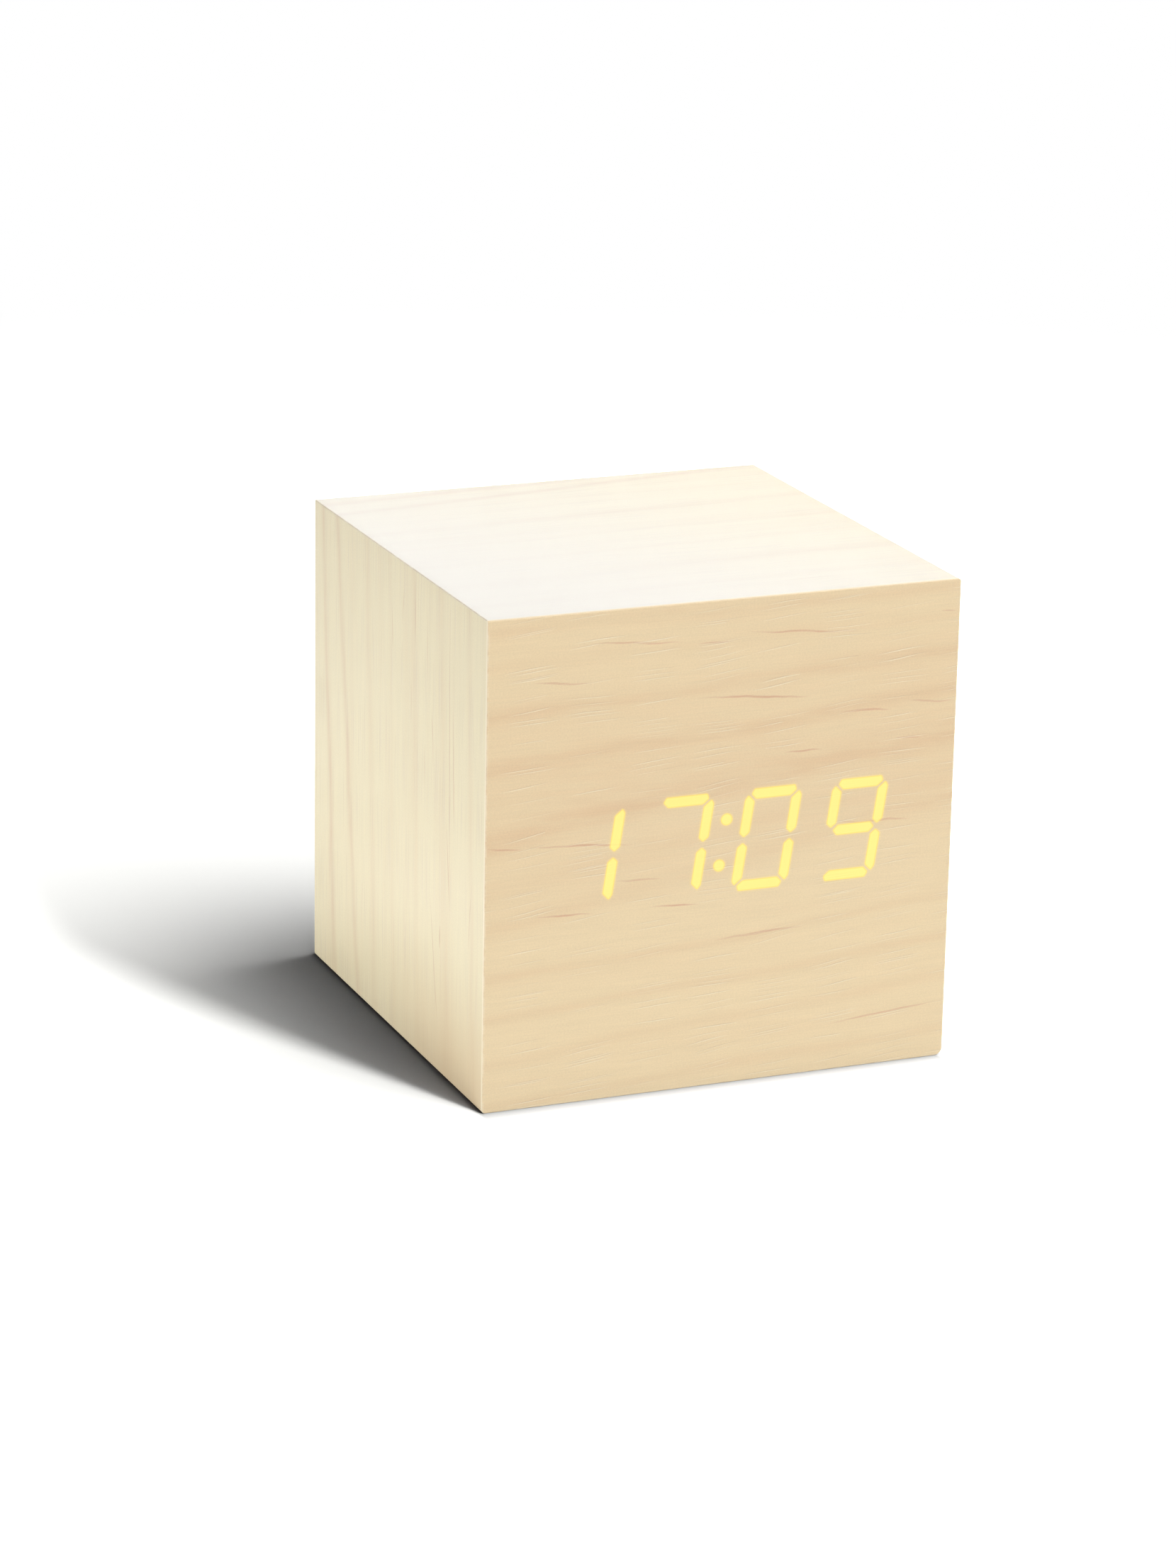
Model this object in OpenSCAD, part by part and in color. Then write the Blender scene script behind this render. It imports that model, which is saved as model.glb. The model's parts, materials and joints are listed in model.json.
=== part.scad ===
// Cube alarm clock: light digits shine through the veneer of a mitred fibreboard case.
// Frame: +Z up, front towards -Y, origin at the middle of the underside, millimetres.

/* [Case] */
// Outside width of the cube
case_w = 68; // [62:1:90]
// Outside depth of the cube
case_d = 68; // [58:1:90]
// Outside height of the cube
case_h = 68; // [62:1:90]
// Thickness of the sleeve's fibreboard panels
panel_t = 4.5; // [3:0.1:5]
// Thickness of the fibreboard behind the front veneer
front_board_t = 4.5; // [3.5:0.1:6]
// Thickness of the wood veneer
veneer_t = 0.5; // [0.3:0.05:0.8]
// Outside radius of the folded corners
fold_r = 0.4; // [0.2:0.05:0.7]
// Outside radius of the lower right corner, where the wrap closes
closing_r = 1.1; // [0.4:0.1:1.4]
// Side of the square corner blocks
block_s = 6; // [5:0.5:7]
// Length of the corner blocks
block_l = 14; // [11:1:20]

/* [Shown time] */
// Tens of hours
hour_tens = 1; // [0:1:2]
// Hours
hour_ones = 7; // [0:1:9]
// Tens of minutes
minute_tens = 0; // [0:1:5]
// Minutes
minute_ones = 9; // [0:1:9]

/* [Digits] */
// Height of a digit
digit_h = 14.2; // [12:0.1:15]
// Width of a digit, upright, over its bars
digit_w = 8.3; // [7:0.1:9]
// Distance from digit to digit
digit_pitch = 12.8; // [12:0.1:13]
// Thickness of a bar
bar_t = 1.45; // [1.1:0.05:1.7]
// Lean of the digits to the right, in degrees
digit_lean = 8.4; // [0:0.1:10]
// Diameter of the two dots between hours and minutes
dot_d = 1.65; // [1.2:0.05:2]
// Height of the digits' middle above the cube's middle
digit_up = 0.4; // [-2:0.1:2]

/* [Display module] */
// Width of the reflector block
reflector_w = 50.4; // [50:0.1:52]
// Height of the reflector block
reflector_h = 19; // [18:0.1:21]
// Depth of the reflector block
reflector_d = 8; // [7:0.1:10]
// Depth of the clear fill in the reflector's wells
fill_d = 2.5; // [1:0.1:4]
// Side of a light chip
chip_s = 0.9; // [0.5:0.05:1]
// Height of a light chip
chip_h = 0.6; // [0.3:0.05:1]
// Room between the display board and the side panels
display_side_gap = 1; // [0.5:0.1:3]
// Height of the display board
display_board_h = 34; // [32:0.5:38]
// Thickness of both circuit boards
pcb_t = 1.6; // [1:0.1:2]
// Distance of the display screws from the board's left and right edges
display_screw_edge = 3.5; // [3:0.1:5]
// Upward distance of the display screws from the digits' middle
display_screw_z = 13.5; // [13:0.1:14]
// Outside diameter of the display spacers
spacer_d = 5; // [4:0.1:5.5]

/* [Back cover] */
// Thickness of the back cover
cover_t = 2; // [1.8:0.1:3]
// Depth of the cover's outer face behind the rear rim
cover_recess = 2; // [1.8:0.1:4]
// Room between the cover and the control board
control_gap = 7.5; // [7.3:0.1:9]
// Height of the control board above the battery bay
control_lift = 1; // [0.5:0.1:2]
// Room between the control board and the corner blocks
control_side_gap = 1.5; // [1:0.1:2]

/* [Buttons and switches] */
// Diameter of a button cap
button_d = 5; // [4.5:0.1:6]
// Length of a button cap outside the cover
button_out = 1.2; // [0.8:0.1:1.6]
// Distance from button to button
button_pitch = 9; // [8:0.1:9]
// Travel of a button
button_travel = 0.5; // [0.2:0.05:0.6]
// Side of a tact switch
tact_s = 4.5; // [4:0.1:5]
// Height of a tact switch's body
tact_h = 3.5; // [3:0.1:3.8]
// Diameter of a tact switch's plunger
plunger_d = 2.4; // [1.8:0.1:3]
// Width of the slide knob outside the cover
knob_w = 4; // [3:0.1:5]
// Height of the slide knob outside the cover
knob_h = 2.6; // [2:0.1:3]
// Length of the slide knob outside the cover
knob_out = 1; // [0.6:0.1:1.6]
// Travel of the slide knob
knob_travel = 2; // [1:0.1:2.5]

/* [Power inlet] */
// Side of the square jack housing
jack_s = 7; // [6.5:0.1:7.5]
// Diameter of the jack's nose in the cover
jack_nose_d = 6; // [5.5:0.1:6.4]
// Diameter of the jack's bore
jack_bore_d = 3.8; // [3.6:0.05:4.2]
// Depth of the jack's bore
jack_bore_l = 8.5; // [7:0.1:9]
// Diameter of the centre pin
jack_pin_d = 1.3; // [1:0.05:1.5]
// Depth of the pin's tip below the nose
jack_pin_in = 0.8; // [0.4:0.1:1.5]

/* [Sound] */
// Diameter of the buzzer
buzzer_d = 8.5; // [8:0.1:9.2]
// Height of the buzzer
buzzer_h = 5.5; // [4:0.1:6]
// Diameter of the sound holes
sound_hole_d = 1.1; // [0.8:0.1:1.4]
// Diameter of the microphone
mic_d = 4.4; // [4:0.1:5]
// Height of the microphone
mic_h = 2.7; // [2:0.1:4]

/* [Batteries] */
// Diameter of a cell
cell_d = 10.5; // [9.8:0.1:10.6]
// Length of a cell with its nub
cell_l = 44.5; // [43:0.1:45]
// Diameter of a cell's nub
nub_d = 3.8; // [3:0.1:4.5]
// Length of a cell's nub
nub_l = 1; // [0.8:0.1:1.5]
// Length of a contact spring with the cell in
spring_l = 3.6; // [3.4:0.1:4.4]
// Diameter of the contact spring's wire
spring_wire_d = 0.5; // [0.4:0.05:0.6]
// Turns of a contact spring
spring_turns = 2.5; // [2:0.5:2.5]
// Thickness of the contact plates
plate_t = 0.4; // [0.3:0.05:0.6]
// Wall of the battery bay
bay_wall = 0.8; // [0.6:0.1:1.2]
// Height of the ridges between the cells
ridge_h = 2.5; // [1:0.1:3]
// Thickness of the battery door
door_t = 1.8; // [1.5:0.1:1.9]

/* [Hidden] */
$fn = 48;

// Clearances
glue_gap = 0.02;
screw_gap = 0.05;
window_gap = 0.15;
cover_gap = 0.25;
button_gap = 0.2;
plunger_gap = 0.05;
part_gap = 0.3;
seat_gap = 0.1;
door_gap = 0.2;
cell_gap = 0.3;
bay_gap = 0.2;
cell_fit = 0.1;
cell_lid_gap = 0.6;
// Length by which a cut reaches past the face that it opens
cut_over = 1;

// Sleeve and front
wall = panel_t + veneer_t;
front_y = -case_d / 2;
back_y = case_d / 2;
veneer_y = front_y + veneer_t;
front_board_y = veneer_y + front_board_t;
inner_w = case_w - 2 * wall;
inner_h = case_h - 2 * wall;
mid_z = case_h / 2;
// A rounder corner than this would bare the fibreboard under the wrap
closing_r_max = 3 * veneer_t;
closing_r_used = min(closing_r, closing_r_max);

// Digits: the columns and rows are the bars' middle lines
digit_z = mid_z + digit_up;
column_x = (digit_w - bar_t) / 2;
row_z = (digit_h - bar_t) / 2;
bar_nose = 0.62;
bar_lead = 0.3;
bar_soft = 0.2;
corner_gap = 0.12;
middle_gap = 0.38;
shown_digits = [hour_tens, hour_ones, minute_tens, minute_ones];
// Bars a to g of the digits 0 to 9
bar_codes = ["1111110", "0110000", "1101101", "1111001", "0110011", "1011011", "1011111", "1110000",
    "1111111", "1111011"];

// Display module behind the front board
display_board_w = inner_w - 2 * display_side_gap;
display_screw_x = display_board_w / 2 - display_screw_edge;
display_y = veneer_y + reflector_d;
display_back_y = display_y + pcb_t;
screw_d = 2.2;
screw_hole_d = screw_d + 2 * screw_gap;
screw_head_d = 4;
screw_head_h = 1.4;
recess_l = 2.4;
recess_w = 0.5;
recess_d = 0.7;
display_screw_bite = 3;
display_socket_up = 12;
display_socket_z = digit_z + display_socket_up;
socket_size = [13, 5, 5];
socket_pocket = 3;
ribbon_w = 10;
ribbon_t = 0.9;
ribbon_sag = 4;
ribbon_steps = 24;

// Back cover, battery bay and control board
cover_y = back_y - cover_recess;
cover_in_y = cover_y - cover_t;
cover_w = inner_w - 2 * cover_gap;
cover_h = inner_h - 2 * cover_gap;
block_x = inner_w / 2 - block_s / 2;
block_z = case_h - wall - block_s / 2;
cover_screw_l = 11;
cover_screw_head_d = 4.4;
cover_screw_head_h = 1.4;
hook_x = 18;
hook_w = 8;
hook_t = 1.2;
hook_l = 1.5;
bay_in_l = cell_l + spring_l + 2 * plate_t;
bay_in_h = 3 * cell_d + 2 * cell_gap + 2 * bay_gap;
control_edge = 0.5;
flange_lip = 0.6;
button_flange_d = button_d + 2 * flange_lip;
row_h = max(jack_s, buzzer_d);
row_to_buttons = part_gap + max((jack_s + button_flange_d) / 2, (buzzer_d + tact_s) / 2);
door_lip = 0.5;
tab_l = 0.8;
bay_foot = tab_l + part_gap + door_lip;
row_above_bay = bay_wall + control_lift + control_edge + row_h / 2;
stack_h = bay_foot + bay_in_h + row_above_bay + row_to_buttons + button_flange_d / 2;
bay_in_z = wall + (inner_h - stack_h) / 2 + bay_foot;
bay_mid_z = bay_in_z + bay_in_h / 2;
bay_top_z = bay_in_z + bay_in_h + bay_wall;
door_in_y = cover_y - door_t;
cell_y = door_in_y - cell_lid_gap - cell_d / 2;
groove_r = cell_d / 2 + cell_fit;
groove_y = cell_y - groove_r;
bay_y = groove_y - bay_wall;
ridge_y = groove_y + ridge_h;
cell_zs = [for (i = [0:2]) bay_in_z + bay_gap + cell_d / 2 + i * (cell_d + cell_gap)];
control_back_y = cover_in_y - control_gap;
control_y = control_back_y - pcb_t;
control_w = inner_w - 2 * block_s - 2 * control_side_gap;
control_z = bay_top_z + control_lift;
inlet_z = control_z + control_edge + row_h / 2;
button_z = inlet_z + row_to_buttons;
control_top_z = button_z + tact_s / 2 + 2 * control_edge;
control_mid_z = (control_z + control_top_z) / 2;
control_screw_edge = 2.5;
control_screw_x = control_w / 2 - control_screw_edge;
boss_d = 4.4;
control_screw_bite = 5;
control_socket_z = control_mid_z;

// Buzzer, microphone, slide switch and power jack share a row with even gaps
slide_w = 8.6;
row_gap = (control_w - buzzer_d - mic_d - slide_w - jack_s) / 5;
buzzer_x = -control_w / 2 + row_gap + buzzer_d / 2;
mic_x = buzzer_x + buzzer_d / 2 + row_gap + mic_d / 2;
slide_x = mic_x + mic_d / 2 + row_gap + slide_w / 2;
jack_x = slide_x + slide_w / 2 + row_gap + jack_s / 2;

// Buttons: flange behind the cover, stem on the plunger
button_flange_t = 1.1;
button_stem_d = 3.6;
button_edge = 0.4;
tact_y = control_back_y + tact_h;
plunger_out = 1;
plunger_top_y = tact_y + button_travel + plunger_out;
plunger_in = 1.4;
plunger_well = plunger_in + button_travel + seat_gap;

// Slide switch: the lever stands in the knob's socket
slide_h = 3.8;
slide_d = 3.5;
slide_y = control_back_y + slide_d;
lever_s = 1.5;
lever_in = 1.2;
lever_short = 0.4;
lever_top_y = cover_in_y - lever_short;
knob_flange_t = 1;
knob_lift = 1;
knob_in_y = slide_y + knob_lift;
knob_cover = 0.5;
knob_slot_w = knob_w + knob_travel + 2 * button_gap;
knob_flange_w = knob_slot_w + knob_travel + 2 * knob_cover;
knob_flange_h = knob_h + 2 * button_gap + 2 * flange_lip;
knob_rest_x = slide_x - knob_travel / 2;

// Power jack and buzzer
jack_floor_y = cover_y - jack_bore_l;
jack_pin_tip = 0.3;
buzzer_y = control_back_y + buzzer_h;
sound_ring_r = 2.4;

// Battery door: two tabs at its foot, a tongue at its top
door_w = bay_in_l + 2 * door_lip;
door_h = bay_in_h + 2 * door_lip;
door_z = bay_in_z - door_lip;
tab_x = 16;
tab_w = 6;
tab_t = 0.8;
tab_y = door_in_y - part_gap;
tab_room = 1.2;
tongue_w = 10;
tongue_l = 7;
tongue_slit = 0.6;
tongue_nose = 0.1;
grip_count = 3;
grip_pitch = 1.4;
grip_d = 0.4;
notch_w = 12;
notch_h = 2;
notch_d = 1;

// Contact plates, springs and leads
plate_h = 8;
plate_y = ridge_y + seat_gap;
plate_d = 6.6;
plate_x = (bay_in_l - plate_t) / 2;
solder_w = 2.4;
solder_l = 1.6;
spring_wide_r = 3.2;
spring_narrow_r = 2;
spring_rings = 8;
spring_sides = 6;
lead_d = 1.2;
lead_sides = 8;
// A lead rises in front of the bay from its solder tab, then draws in and bends into the board's front
lead_y = bay_y - solder_l / 2;
lead_step = 2.4;
lead_draw_h = 7;
lead_bend_r = 2.6;
lead_bend_steps = 5;
lead_end_edge = 3.5;
lead_end_x = control_w / 2 - lead_end_edge;
lead_end_z = control_z + lead_bend_r;
lead_rise_z = lead_end_z - lead_bend_r;
function lead_x(z) =
    let(u = min(1, max(0, 1 - (lead_rise_z - z) / lead_draw_h)))
    plate_x + (lead_end_x - plate_x) * u * u * (3 - 2 * u);
function lead_rise(from_z) =
    let(steps = ceil((lead_rise_z - from_z) / lead_step))
    [for (i = [0:steps - 1]) let(z = from_z + (lead_rise_z - from_z) * i / steps) [lead_x(z), lead_y, z]];
lead_bend = [for (i = [0:lead_bend_steps]) let(a = 90 * i / lead_bend_steps)
    [lead_end_x, lead_y + lead_bend_r * (1 - cos(a)), lead_rise_z + lead_bend_r * sin(a)]];
function lead_route(side, tab_z) =
    [for (p = concat(lead_rise(tab_z + solder_w / 2), lead_bend, [[lead_end_x, control_y, lead_end_z]]))
        [side * p.x, p.y, p.z]];

// Placing helpers
// Extrudes a shape drawn in x and z from depth y0 to depth y1
module slab(y0, y1) {
    translate([0, y1, 0]) rotate([90, 0, 0]) linear_extrude(y1 - y0) children();
}
// Stands a shape drawn along z so that it points to the front
module forward(x, y, z) {
    translate([x, y, z]) rotate([90, 0, 0]) children();
}
// Stands a shape drawn along z so that it points to the rear
module rearward(x, y, z) {
    translate([x, y, z]) rotate([-90, 0, 0]) children();
}
// Block from depth y0 to depth y1, w wide and h high about the place x, z
module block(x, z, w, h, y0, y1) {
    translate([x - w / 2, y0, z - h / 2]) cube([w, y1 - y0, h]);
}
// Round hole or pin from depth y0 to depth y1
module round_bar(x, z, d, y0, y1) {
    rearward(x, y0, z) cylinder(d = d, h = y1 - y0);
}

// Outlines
function arc(x, z, r, from, to, steps) =
    [for (i = [0:steps]) let(a = from + (to - from) * i / steps) [x + r * cos(a), z + r * sin(a)]];
function corner_r(turn) = (turn % 360) == 315 ? closing_r_used : fold_r;
// Part of a corner's arc; turn is the corner's direction from the middle of the face
function corner_arc(turn, from, to) =
    let(r = corner_r(turn), c = face_corner(turn, r)) arc(c.x, c.y, r, from, to, 4);
// Corner of a face that is drawn in by some depth
function face_corner(turn, inset) =
    [sign(cos(turn)) * (case_w / 2 - inset), mid_z + sign(sin(turn)) * (mid_z - inset)];
face_outline = [for (turn = [45:90:315]) each corner_arc(turn, turn - 45, turn + 45)];
// Side of the wrap: outer arcs to the mitre lines, inner edge along the panel
function wrap_side(turn) = concat(
    corner_arc(turn + 315, turn - 45, turn), corner_arc(turn + 45, turn, turn + 45),
    [face_corner(turn + 45, veneer_t), face_corner(turn + 315, veneer_t)]);
// Mitred panel under that side of the wrap
function panel_side(turn) = [face_corner(turn + 315, veneer_t), face_corner(turn + 45, veneer_t),
    face_corner(turn + 45, wall), face_corner(turn + 315, wall)];

// Rounds the corners of an outline with short curves
function soften(p, cut, steps) = [for (i = [0:len(p) - 1])
    let(a = p[(i + len(p) - 1) % len(p)], b = p[i], c = p[(i + 1) % len(p)])
    let(s = b + (a - b) / norm(a - b) * cut, e = b + (c - b) / norm(c - b) * cut)
    each [for (k = [0:steps]) let(t = k / steps) (1 - t) * (1 - t) * s + 2 * (1 - t) * t * b + t * t * e]];
function reversed(p) = [for (i = [len(p) - 1:-1:0]) p[i]];
function mirrored(p, sx, sz) =
    let(q = [for (v = p) [v.x * sx, v.y * sz]]) sx * sz > 0 ? q : reversed(q);
function raised(p, z) = [for (v = p) [v.x, v.y + z]];
// Level bar: its outer edge is longer than its inner edge by the lead
function level_bar(tip, lead, grow) =
    let(h = bar_t / 2 + grow, t = tip + grow, inner = t - bar_nose - lead / 2, outer = t - bar_nose + lead)
    [[-t, 0], [-inner, -h], [inner, -h], [t, 0], [outer, h], [-outer, h]];
// Upper right bar: pointed at the middle row, mitred at the corner
function upright_bar(grow) =
    let(h = bar_t / 2 + grow, low = middle_gap - grow, high = row_z - corner_gap + grow)
    let(right = column_x + h, left = column_x - h)
    [[column_x, low], [right, low + bar_nose], [right, high - bar_nose], [column_x + bar_lead, high],
        [left, high - bar_nose - bar_lead], [left, low + bar_nose]];
function straight_bar(k, grow) =
    k == 0 ? raised(level_bar(column_x - corner_gap, bar_lead, grow), row_z) :
    k == 3 ? raised(mirrored(level_bar(column_x - corner_gap, bar_lead, grow), 1, -1), -row_z) :
    k == 6 ? level_bar(column_x - middle_gap, 0, grow) :
    mirrored(upright_bar(grow), k < 3 ? 1 : -1, k == 1 || k == 5 ? 1 : -1);
function leaned(p) = [for (v = p) [v.x + v.y * tan(digit_lean), v.y]];
function digit_x(i) = (i - 1.5) * digit_pitch;
function bar_outline(i, k, grow) =
    [for (v = leaned(soften(straight_bar(k, grow), bar_soft, 3))) v + [digit_x(i), digit_z]];
function bar_middle(i, k) =
    let(x = k == 1 || k == 2 ? column_x : k == 4 || k == 5 ? -column_x : 0)
    let(z = k == 0 ? row_z : k == 3 ? -row_z : k == 6 ? 0 : k == 1 || k == 5 ? row_z / 2 : -row_z / 2)
    leaned([[x, z]])[0] + [digit_x(i), digit_z];
function is_lit(i, k) = bar_codes[shown_digits[i]][k] == "1";
dot_middles = [for (side = [-1, 1]) leaned([[0, side * row_z / 2]])[0] + [0, digit_z]];

module all_bars(grow) {
    for (i = [0:3]) for (k = [0:6]) polygon(bar_outline(i, k, grow));
    dots(grow);
}
module lit_bars(grow) {
    for (i = [0:3]) for (k = [0:6]) if (is_lit(i, k)) polygon(bar_outline(i, k, grow));
    dots(grow);
}
module dots(grow) {
    for (p = dot_middles) translate(p) circle(d = dot_d + 2 * grow);
}

// Tubes swept along points
function unit(v) = v / norm(v);
function tangent(p, i) = unit(p[min(i + 1, len(p) - 1)] - p[max(i - 1, 0)]);
function ring(at, along, aside, r, sides) =
    let(n = unit(cross(along, aside)), b = cross(along, n))
    [for (j = [0:sides - 1]) at + r * (cos(360 * j / sides) * n + sin(360 * j / sides) * b)];
function ring_quad(a, b, j, sides) =
    let(k = (j + 1) % sides) [[a + j, b + j, b + k], [a + j, b + k, a + k]];
// Tube with flat ends; tangents are given where the ends must be square to what they meet
module tube(points, tangents, aside, r, sides) {
    count = len(points);
    last = (count - 1) * sides;
    polyhedron(
        points = [for (i = [0:count - 1]) each ring(points[i], tangents[i], aside, r, sides)],
        faces = concat(
            [for (i = [0:count - 2]) for (j = [0:sides - 1])
                each ring_quad(i * sides, (i + 1) * sides, j, sides)],
            [for (j = [1:sides - 2]) [0, j, j + 1]],
            [for (j = [1:sides - 2]) [last, last + j + 1, last + j]]));
}
// Lead from a solder tab to the control board: its ends run square to them
module lead(side, tab_z) {
    route = lead_route(side, tab_z);
    last = len(route) - 1;
    tangents = [for (i = [0:last]) i == 0 ? [0, 0, 1] : i == last ? [0, 1, 0] : tangent(route, i)];
    tube(route, tangents, [-side, 1, -1], lead_d / 2, lead_sides);
}

// Contact spring along +x: straight end, narrowing turns, straight end
function spring_coil(i) =
    let(t = i / (spring_turns * spring_rings), r = spring_wide_r + (spring_narrow_r - spring_wide_r) * t)
    let(a = 360 * i / spring_rings, x = 1.5 * spring_wire_d + (spring_l - 3 * spring_wire_d) * t)
    [x, r * cos(a), r * sin(a)];
spring_first = spring_coil(0);
spring_last = spring_coil(spring_turns * spring_rings);
spring_points = concat(
    [[0, spring_first.y, spring_first.z], [spring_wire_d, spring_first.y, spring_first.z]],
    [for (i = [1:spring_turns * spring_rings - 1]) spring_coil(i)],
    [[spring_l - spring_wire_d, spring_last.y, spring_last.z], [spring_l, spring_last.y, spring_last.z]]);
spring_tangents = [for (i = [0:len(spring_points) - 1])
    i < 2 || i > len(spring_points) - 3 ? [1, 0, 0] : tangent(spring_points, i)];
spring_least_gap = min([for (i = [0:len(spring_points) - 1])
    for (j = [i + spring_rings / 2:len(spring_points) - 1])
        norm(spring_points[i] - spring_points[j])]) - spring_wire_d;
echo(spring_least_gap = spring_least_gap);

// Fasteners, drawn from the head's seat along +z
module cross_recess() {
    translate([-recess_l / 2, -recess_w / 2, 0]) cube([recess_l, recess_w, recess_d]);
    translate([-recess_w / 2, -recess_l / 2, 0]) cube([recess_w, recess_l, recess_d]);
}
module pan_screw(length) {
    difference() {
        union() {
            cylinder(d = screw_d, h = length);
            translate([0, 0, -screw_head_h]) cylinder(d = screw_head_d, h = screw_head_h);
        }
        translate([0, 0, -screw_head_h]) cross_recess();
    }
}
module flush_screw(length) {
    difference() {
        union() {
            cylinder(d = screw_d, h = length);
            cylinder(d1 = cover_screw_head_d, d2 = screw_d, h = cover_screw_head_h);
        }
        cross_recess();
    }
}
module at_display_screws() {
    for (sx = [-1, 1]) for (sz = [-1, 1])
        translate([sx * display_screw_x, 0, digit_z + sz * display_screw_z]) children();
}
module at_corner_blocks() {
    for (sx = [-1, 1]) translate([sx * block_x, 0, block_z]) children();
}
// Hook at the cover's foot, or the pocket that takes it, which is larger by a gap
module at_hooks(gap) {
    for (sx = [-1, 1])
        block(sx * hook_x, wall + cover_gap - hook_l / 2, hook_w + 2 * gap, hook_l + 2 * gap,
            cover_in_y - gap, cover_in_y + hook_t + gap);
}
module at_control_screws() {
    for (sx = [-1, 1]) translate([sx * control_screw_x, 0, button_z]) children();
}

// Case
module top_panel() { color("peru") slab(veneer_y, back_y) polygon(panel_side(90)); }
module left_panel() { color("peru") slab(veneer_y, back_y) polygon(panel_side(180)); }
module bottom_panel() {
    color("peru") difference() {
        slab(veneer_y, back_y) polygon(panel_side(270));
        at_hooks(seat_gap);
    }
}
module right_panel() { color("peru") slab(veneer_y, back_y) polygon(panel_side(360)); }
module case_veneer() {
    color("wheat") for (turn = [90:90:360]) slab(veneer_y, back_y) polygon(wrap_side(turn));
}
module front_board() {
    color("peru") difference() {
        slab(veneer_y, front_board_y) difference() {
            translate([-inner_w / 2, wall]) square([inner_w, inner_h]);
            translate([0, digit_z])
                square([reflector_w + 2 * window_gap, reflector_h + 2 * window_gap], center = true);
        }
        at_display_screws()
            round_bar(0, 0, screw_hole_d, front_board_y - display_screw_bite - screw_gap,
                front_board_y + cut_over);
    }
}
module front_veneer() {
    color("wheat") slab(front_y, veneer_y) difference() {
        polygon(face_outline);
        lit_bars(0);
    }
}
module lit_segments() { color("khaki") slab(front_y, veneer_y) lit_bars(-glue_gap); }
module corner_blocks() {
    color("burlywood") difference() {
        at_corner_blocks() block(0, 0, block_s, block_s, cover_in_y - block_l, cover_in_y);
        at_corner_blocks()
            round_bar(0, 0, screw_hole_d, cover_y - cover_screw_l - screw_gap, cover_in_y + cut_over);
    }
}

// Display module
module led_reflector() {
    color("whitesmoke") slab(veneer_y, display_y) difference() {
        translate([0, digit_z]) square([reflector_w, reflector_h], center = true);
        all_bars(0);
    }
}
module segment_fills() { color("ivory") slab(veneer_y, veneer_y + fill_d) all_bars(-glue_gap); }
module led_chips() {
    middles = concat([for (i = [0:3]) for (k = [0:6]) bar_middle(i, k)], dot_middles);
    color("gold") for (p = middles) block(p.x, p.y, chip_s, chip_s, display_y - chip_h, display_y);
}
module display_board() {
    color("darkgreen") difference() {
        block(0, digit_z, display_board_w, display_board_h, display_y, display_back_y);
        at_display_screws()
            round_bar(0, 0, screw_hole_d, display_y - cut_over, display_back_y + cut_over);
    }
}
module display_spacers() {
    color("gainsboro") difference() {
        at_display_screws() round_bar(0, 0, spacer_d, front_board_y, display_y);
        at_display_screws()
            round_bar(0, 0, screw_hole_d, front_board_y - cut_over, display_y + cut_over);
    }
}
module display_screws() {
    color("silver") at_display_screws() forward(0, display_back_y, 0)
        pan_screw(pcb_t + display_y - front_board_y + display_screw_bite);
}
module clock_chip() {
    body_w = 10;
    body_h = 4;
    body_t = 2;
    body_x = 4;
    body_drop = 2;
    leg_count = 8;
    leg_pitch = 1.27;
    leg_w = 0.45;
    leg_l = 1;
    leg_t = 0.9;
    color("black") translate([body_x, display_back_y, digit_z - body_drop]) {
        block(0, 0, body_w, body_h, 0, body_t);
        for (i = [0:leg_count - 1]) for (side = [-1, 1])
            block((i - (leg_count - 1) / 2) * leg_pitch, side * (body_h + leg_l) / 2, leg_w, leg_l, 0, leg_t);
    }
}
module quartz_crystal() {
    crystal_d = 3;
    crystal_l = 8;
    crystal_drop = 10;
    color("silver") translate([0, display_back_y + crystal_d / 2 + glue_gap, digit_z - crystal_drop])
        rotate([0, 90, 0]) cylinder(d = crystal_d, h = crystal_l);
}
module chip_resistors() {
    resistor_w = 1.25;
    resistor_h = 2;
    resistor_t = 0.6;
    first_x = -17.4;
    row_up = 8;
    resistor_count = 8;
    resistor_pitch = 2.6;
    color("dimgray") for (i = [0:resistor_count - 1])
        block(first_x + i * resistor_pitch, digit_z + row_up, resistor_w, resistor_h,
            display_back_y, display_back_y + resistor_t);
}
backup_d = 12.5;
backup_h = 2;
backup_x = -13;
backup_drop = 6;
backup_z = digit_z - backup_drop;
module backup_cell() {
    color("silver") round_bar(backup_x, backup_z, backup_d, display_back_y, display_back_y + backup_h);
}
module cell_clip() {
    strap_w = 4;
    strap_t = 0.4;
    foot = 2;
    inside = backup_d / 2 + seat_gap;
    outside = inside + strap_t;
    reach = inside + foot;
    high = backup_h + strap_t;
    color("silver") translate([backup_x, display_back_y, backup_z - strap_w / 2]) linear_extrude(strap_w)
        polygon([[-reach, 0], [-inside, 0], [-inside, backup_h], [inside, backup_h], [inside, 0], [reach, 0],
            [reach, strap_t], [outside, strap_t], [outside, high], [-outside, high], [-outside, strap_t],
            [-reach, strap_t]]);
}

// Socket with a slot for the ribbon, drawn from the board's face along +z
module ribbon_socket() {
    difference() {
        translate([-socket_size.x / 2, -socket_size.y / 2, 0]) cube(socket_size);
        translate([-ribbon_w / 2 - seat_gap, -ribbon_t / 2 - seat_gap, socket_size.z - socket_pocket])
            cube([ribbon_w + 2 * seat_gap, ribbon_t + 2 * seat_gap, socket_pocket + cut_over]);
    }
}
module display_socket() { color("ivory") rearward(0, display_back_y, display_socket_z) ribbon_socket(); }
module control_socket() { color("ivory") forward(0, control_y, control_socket_z) ribbon_socket(); }
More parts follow.
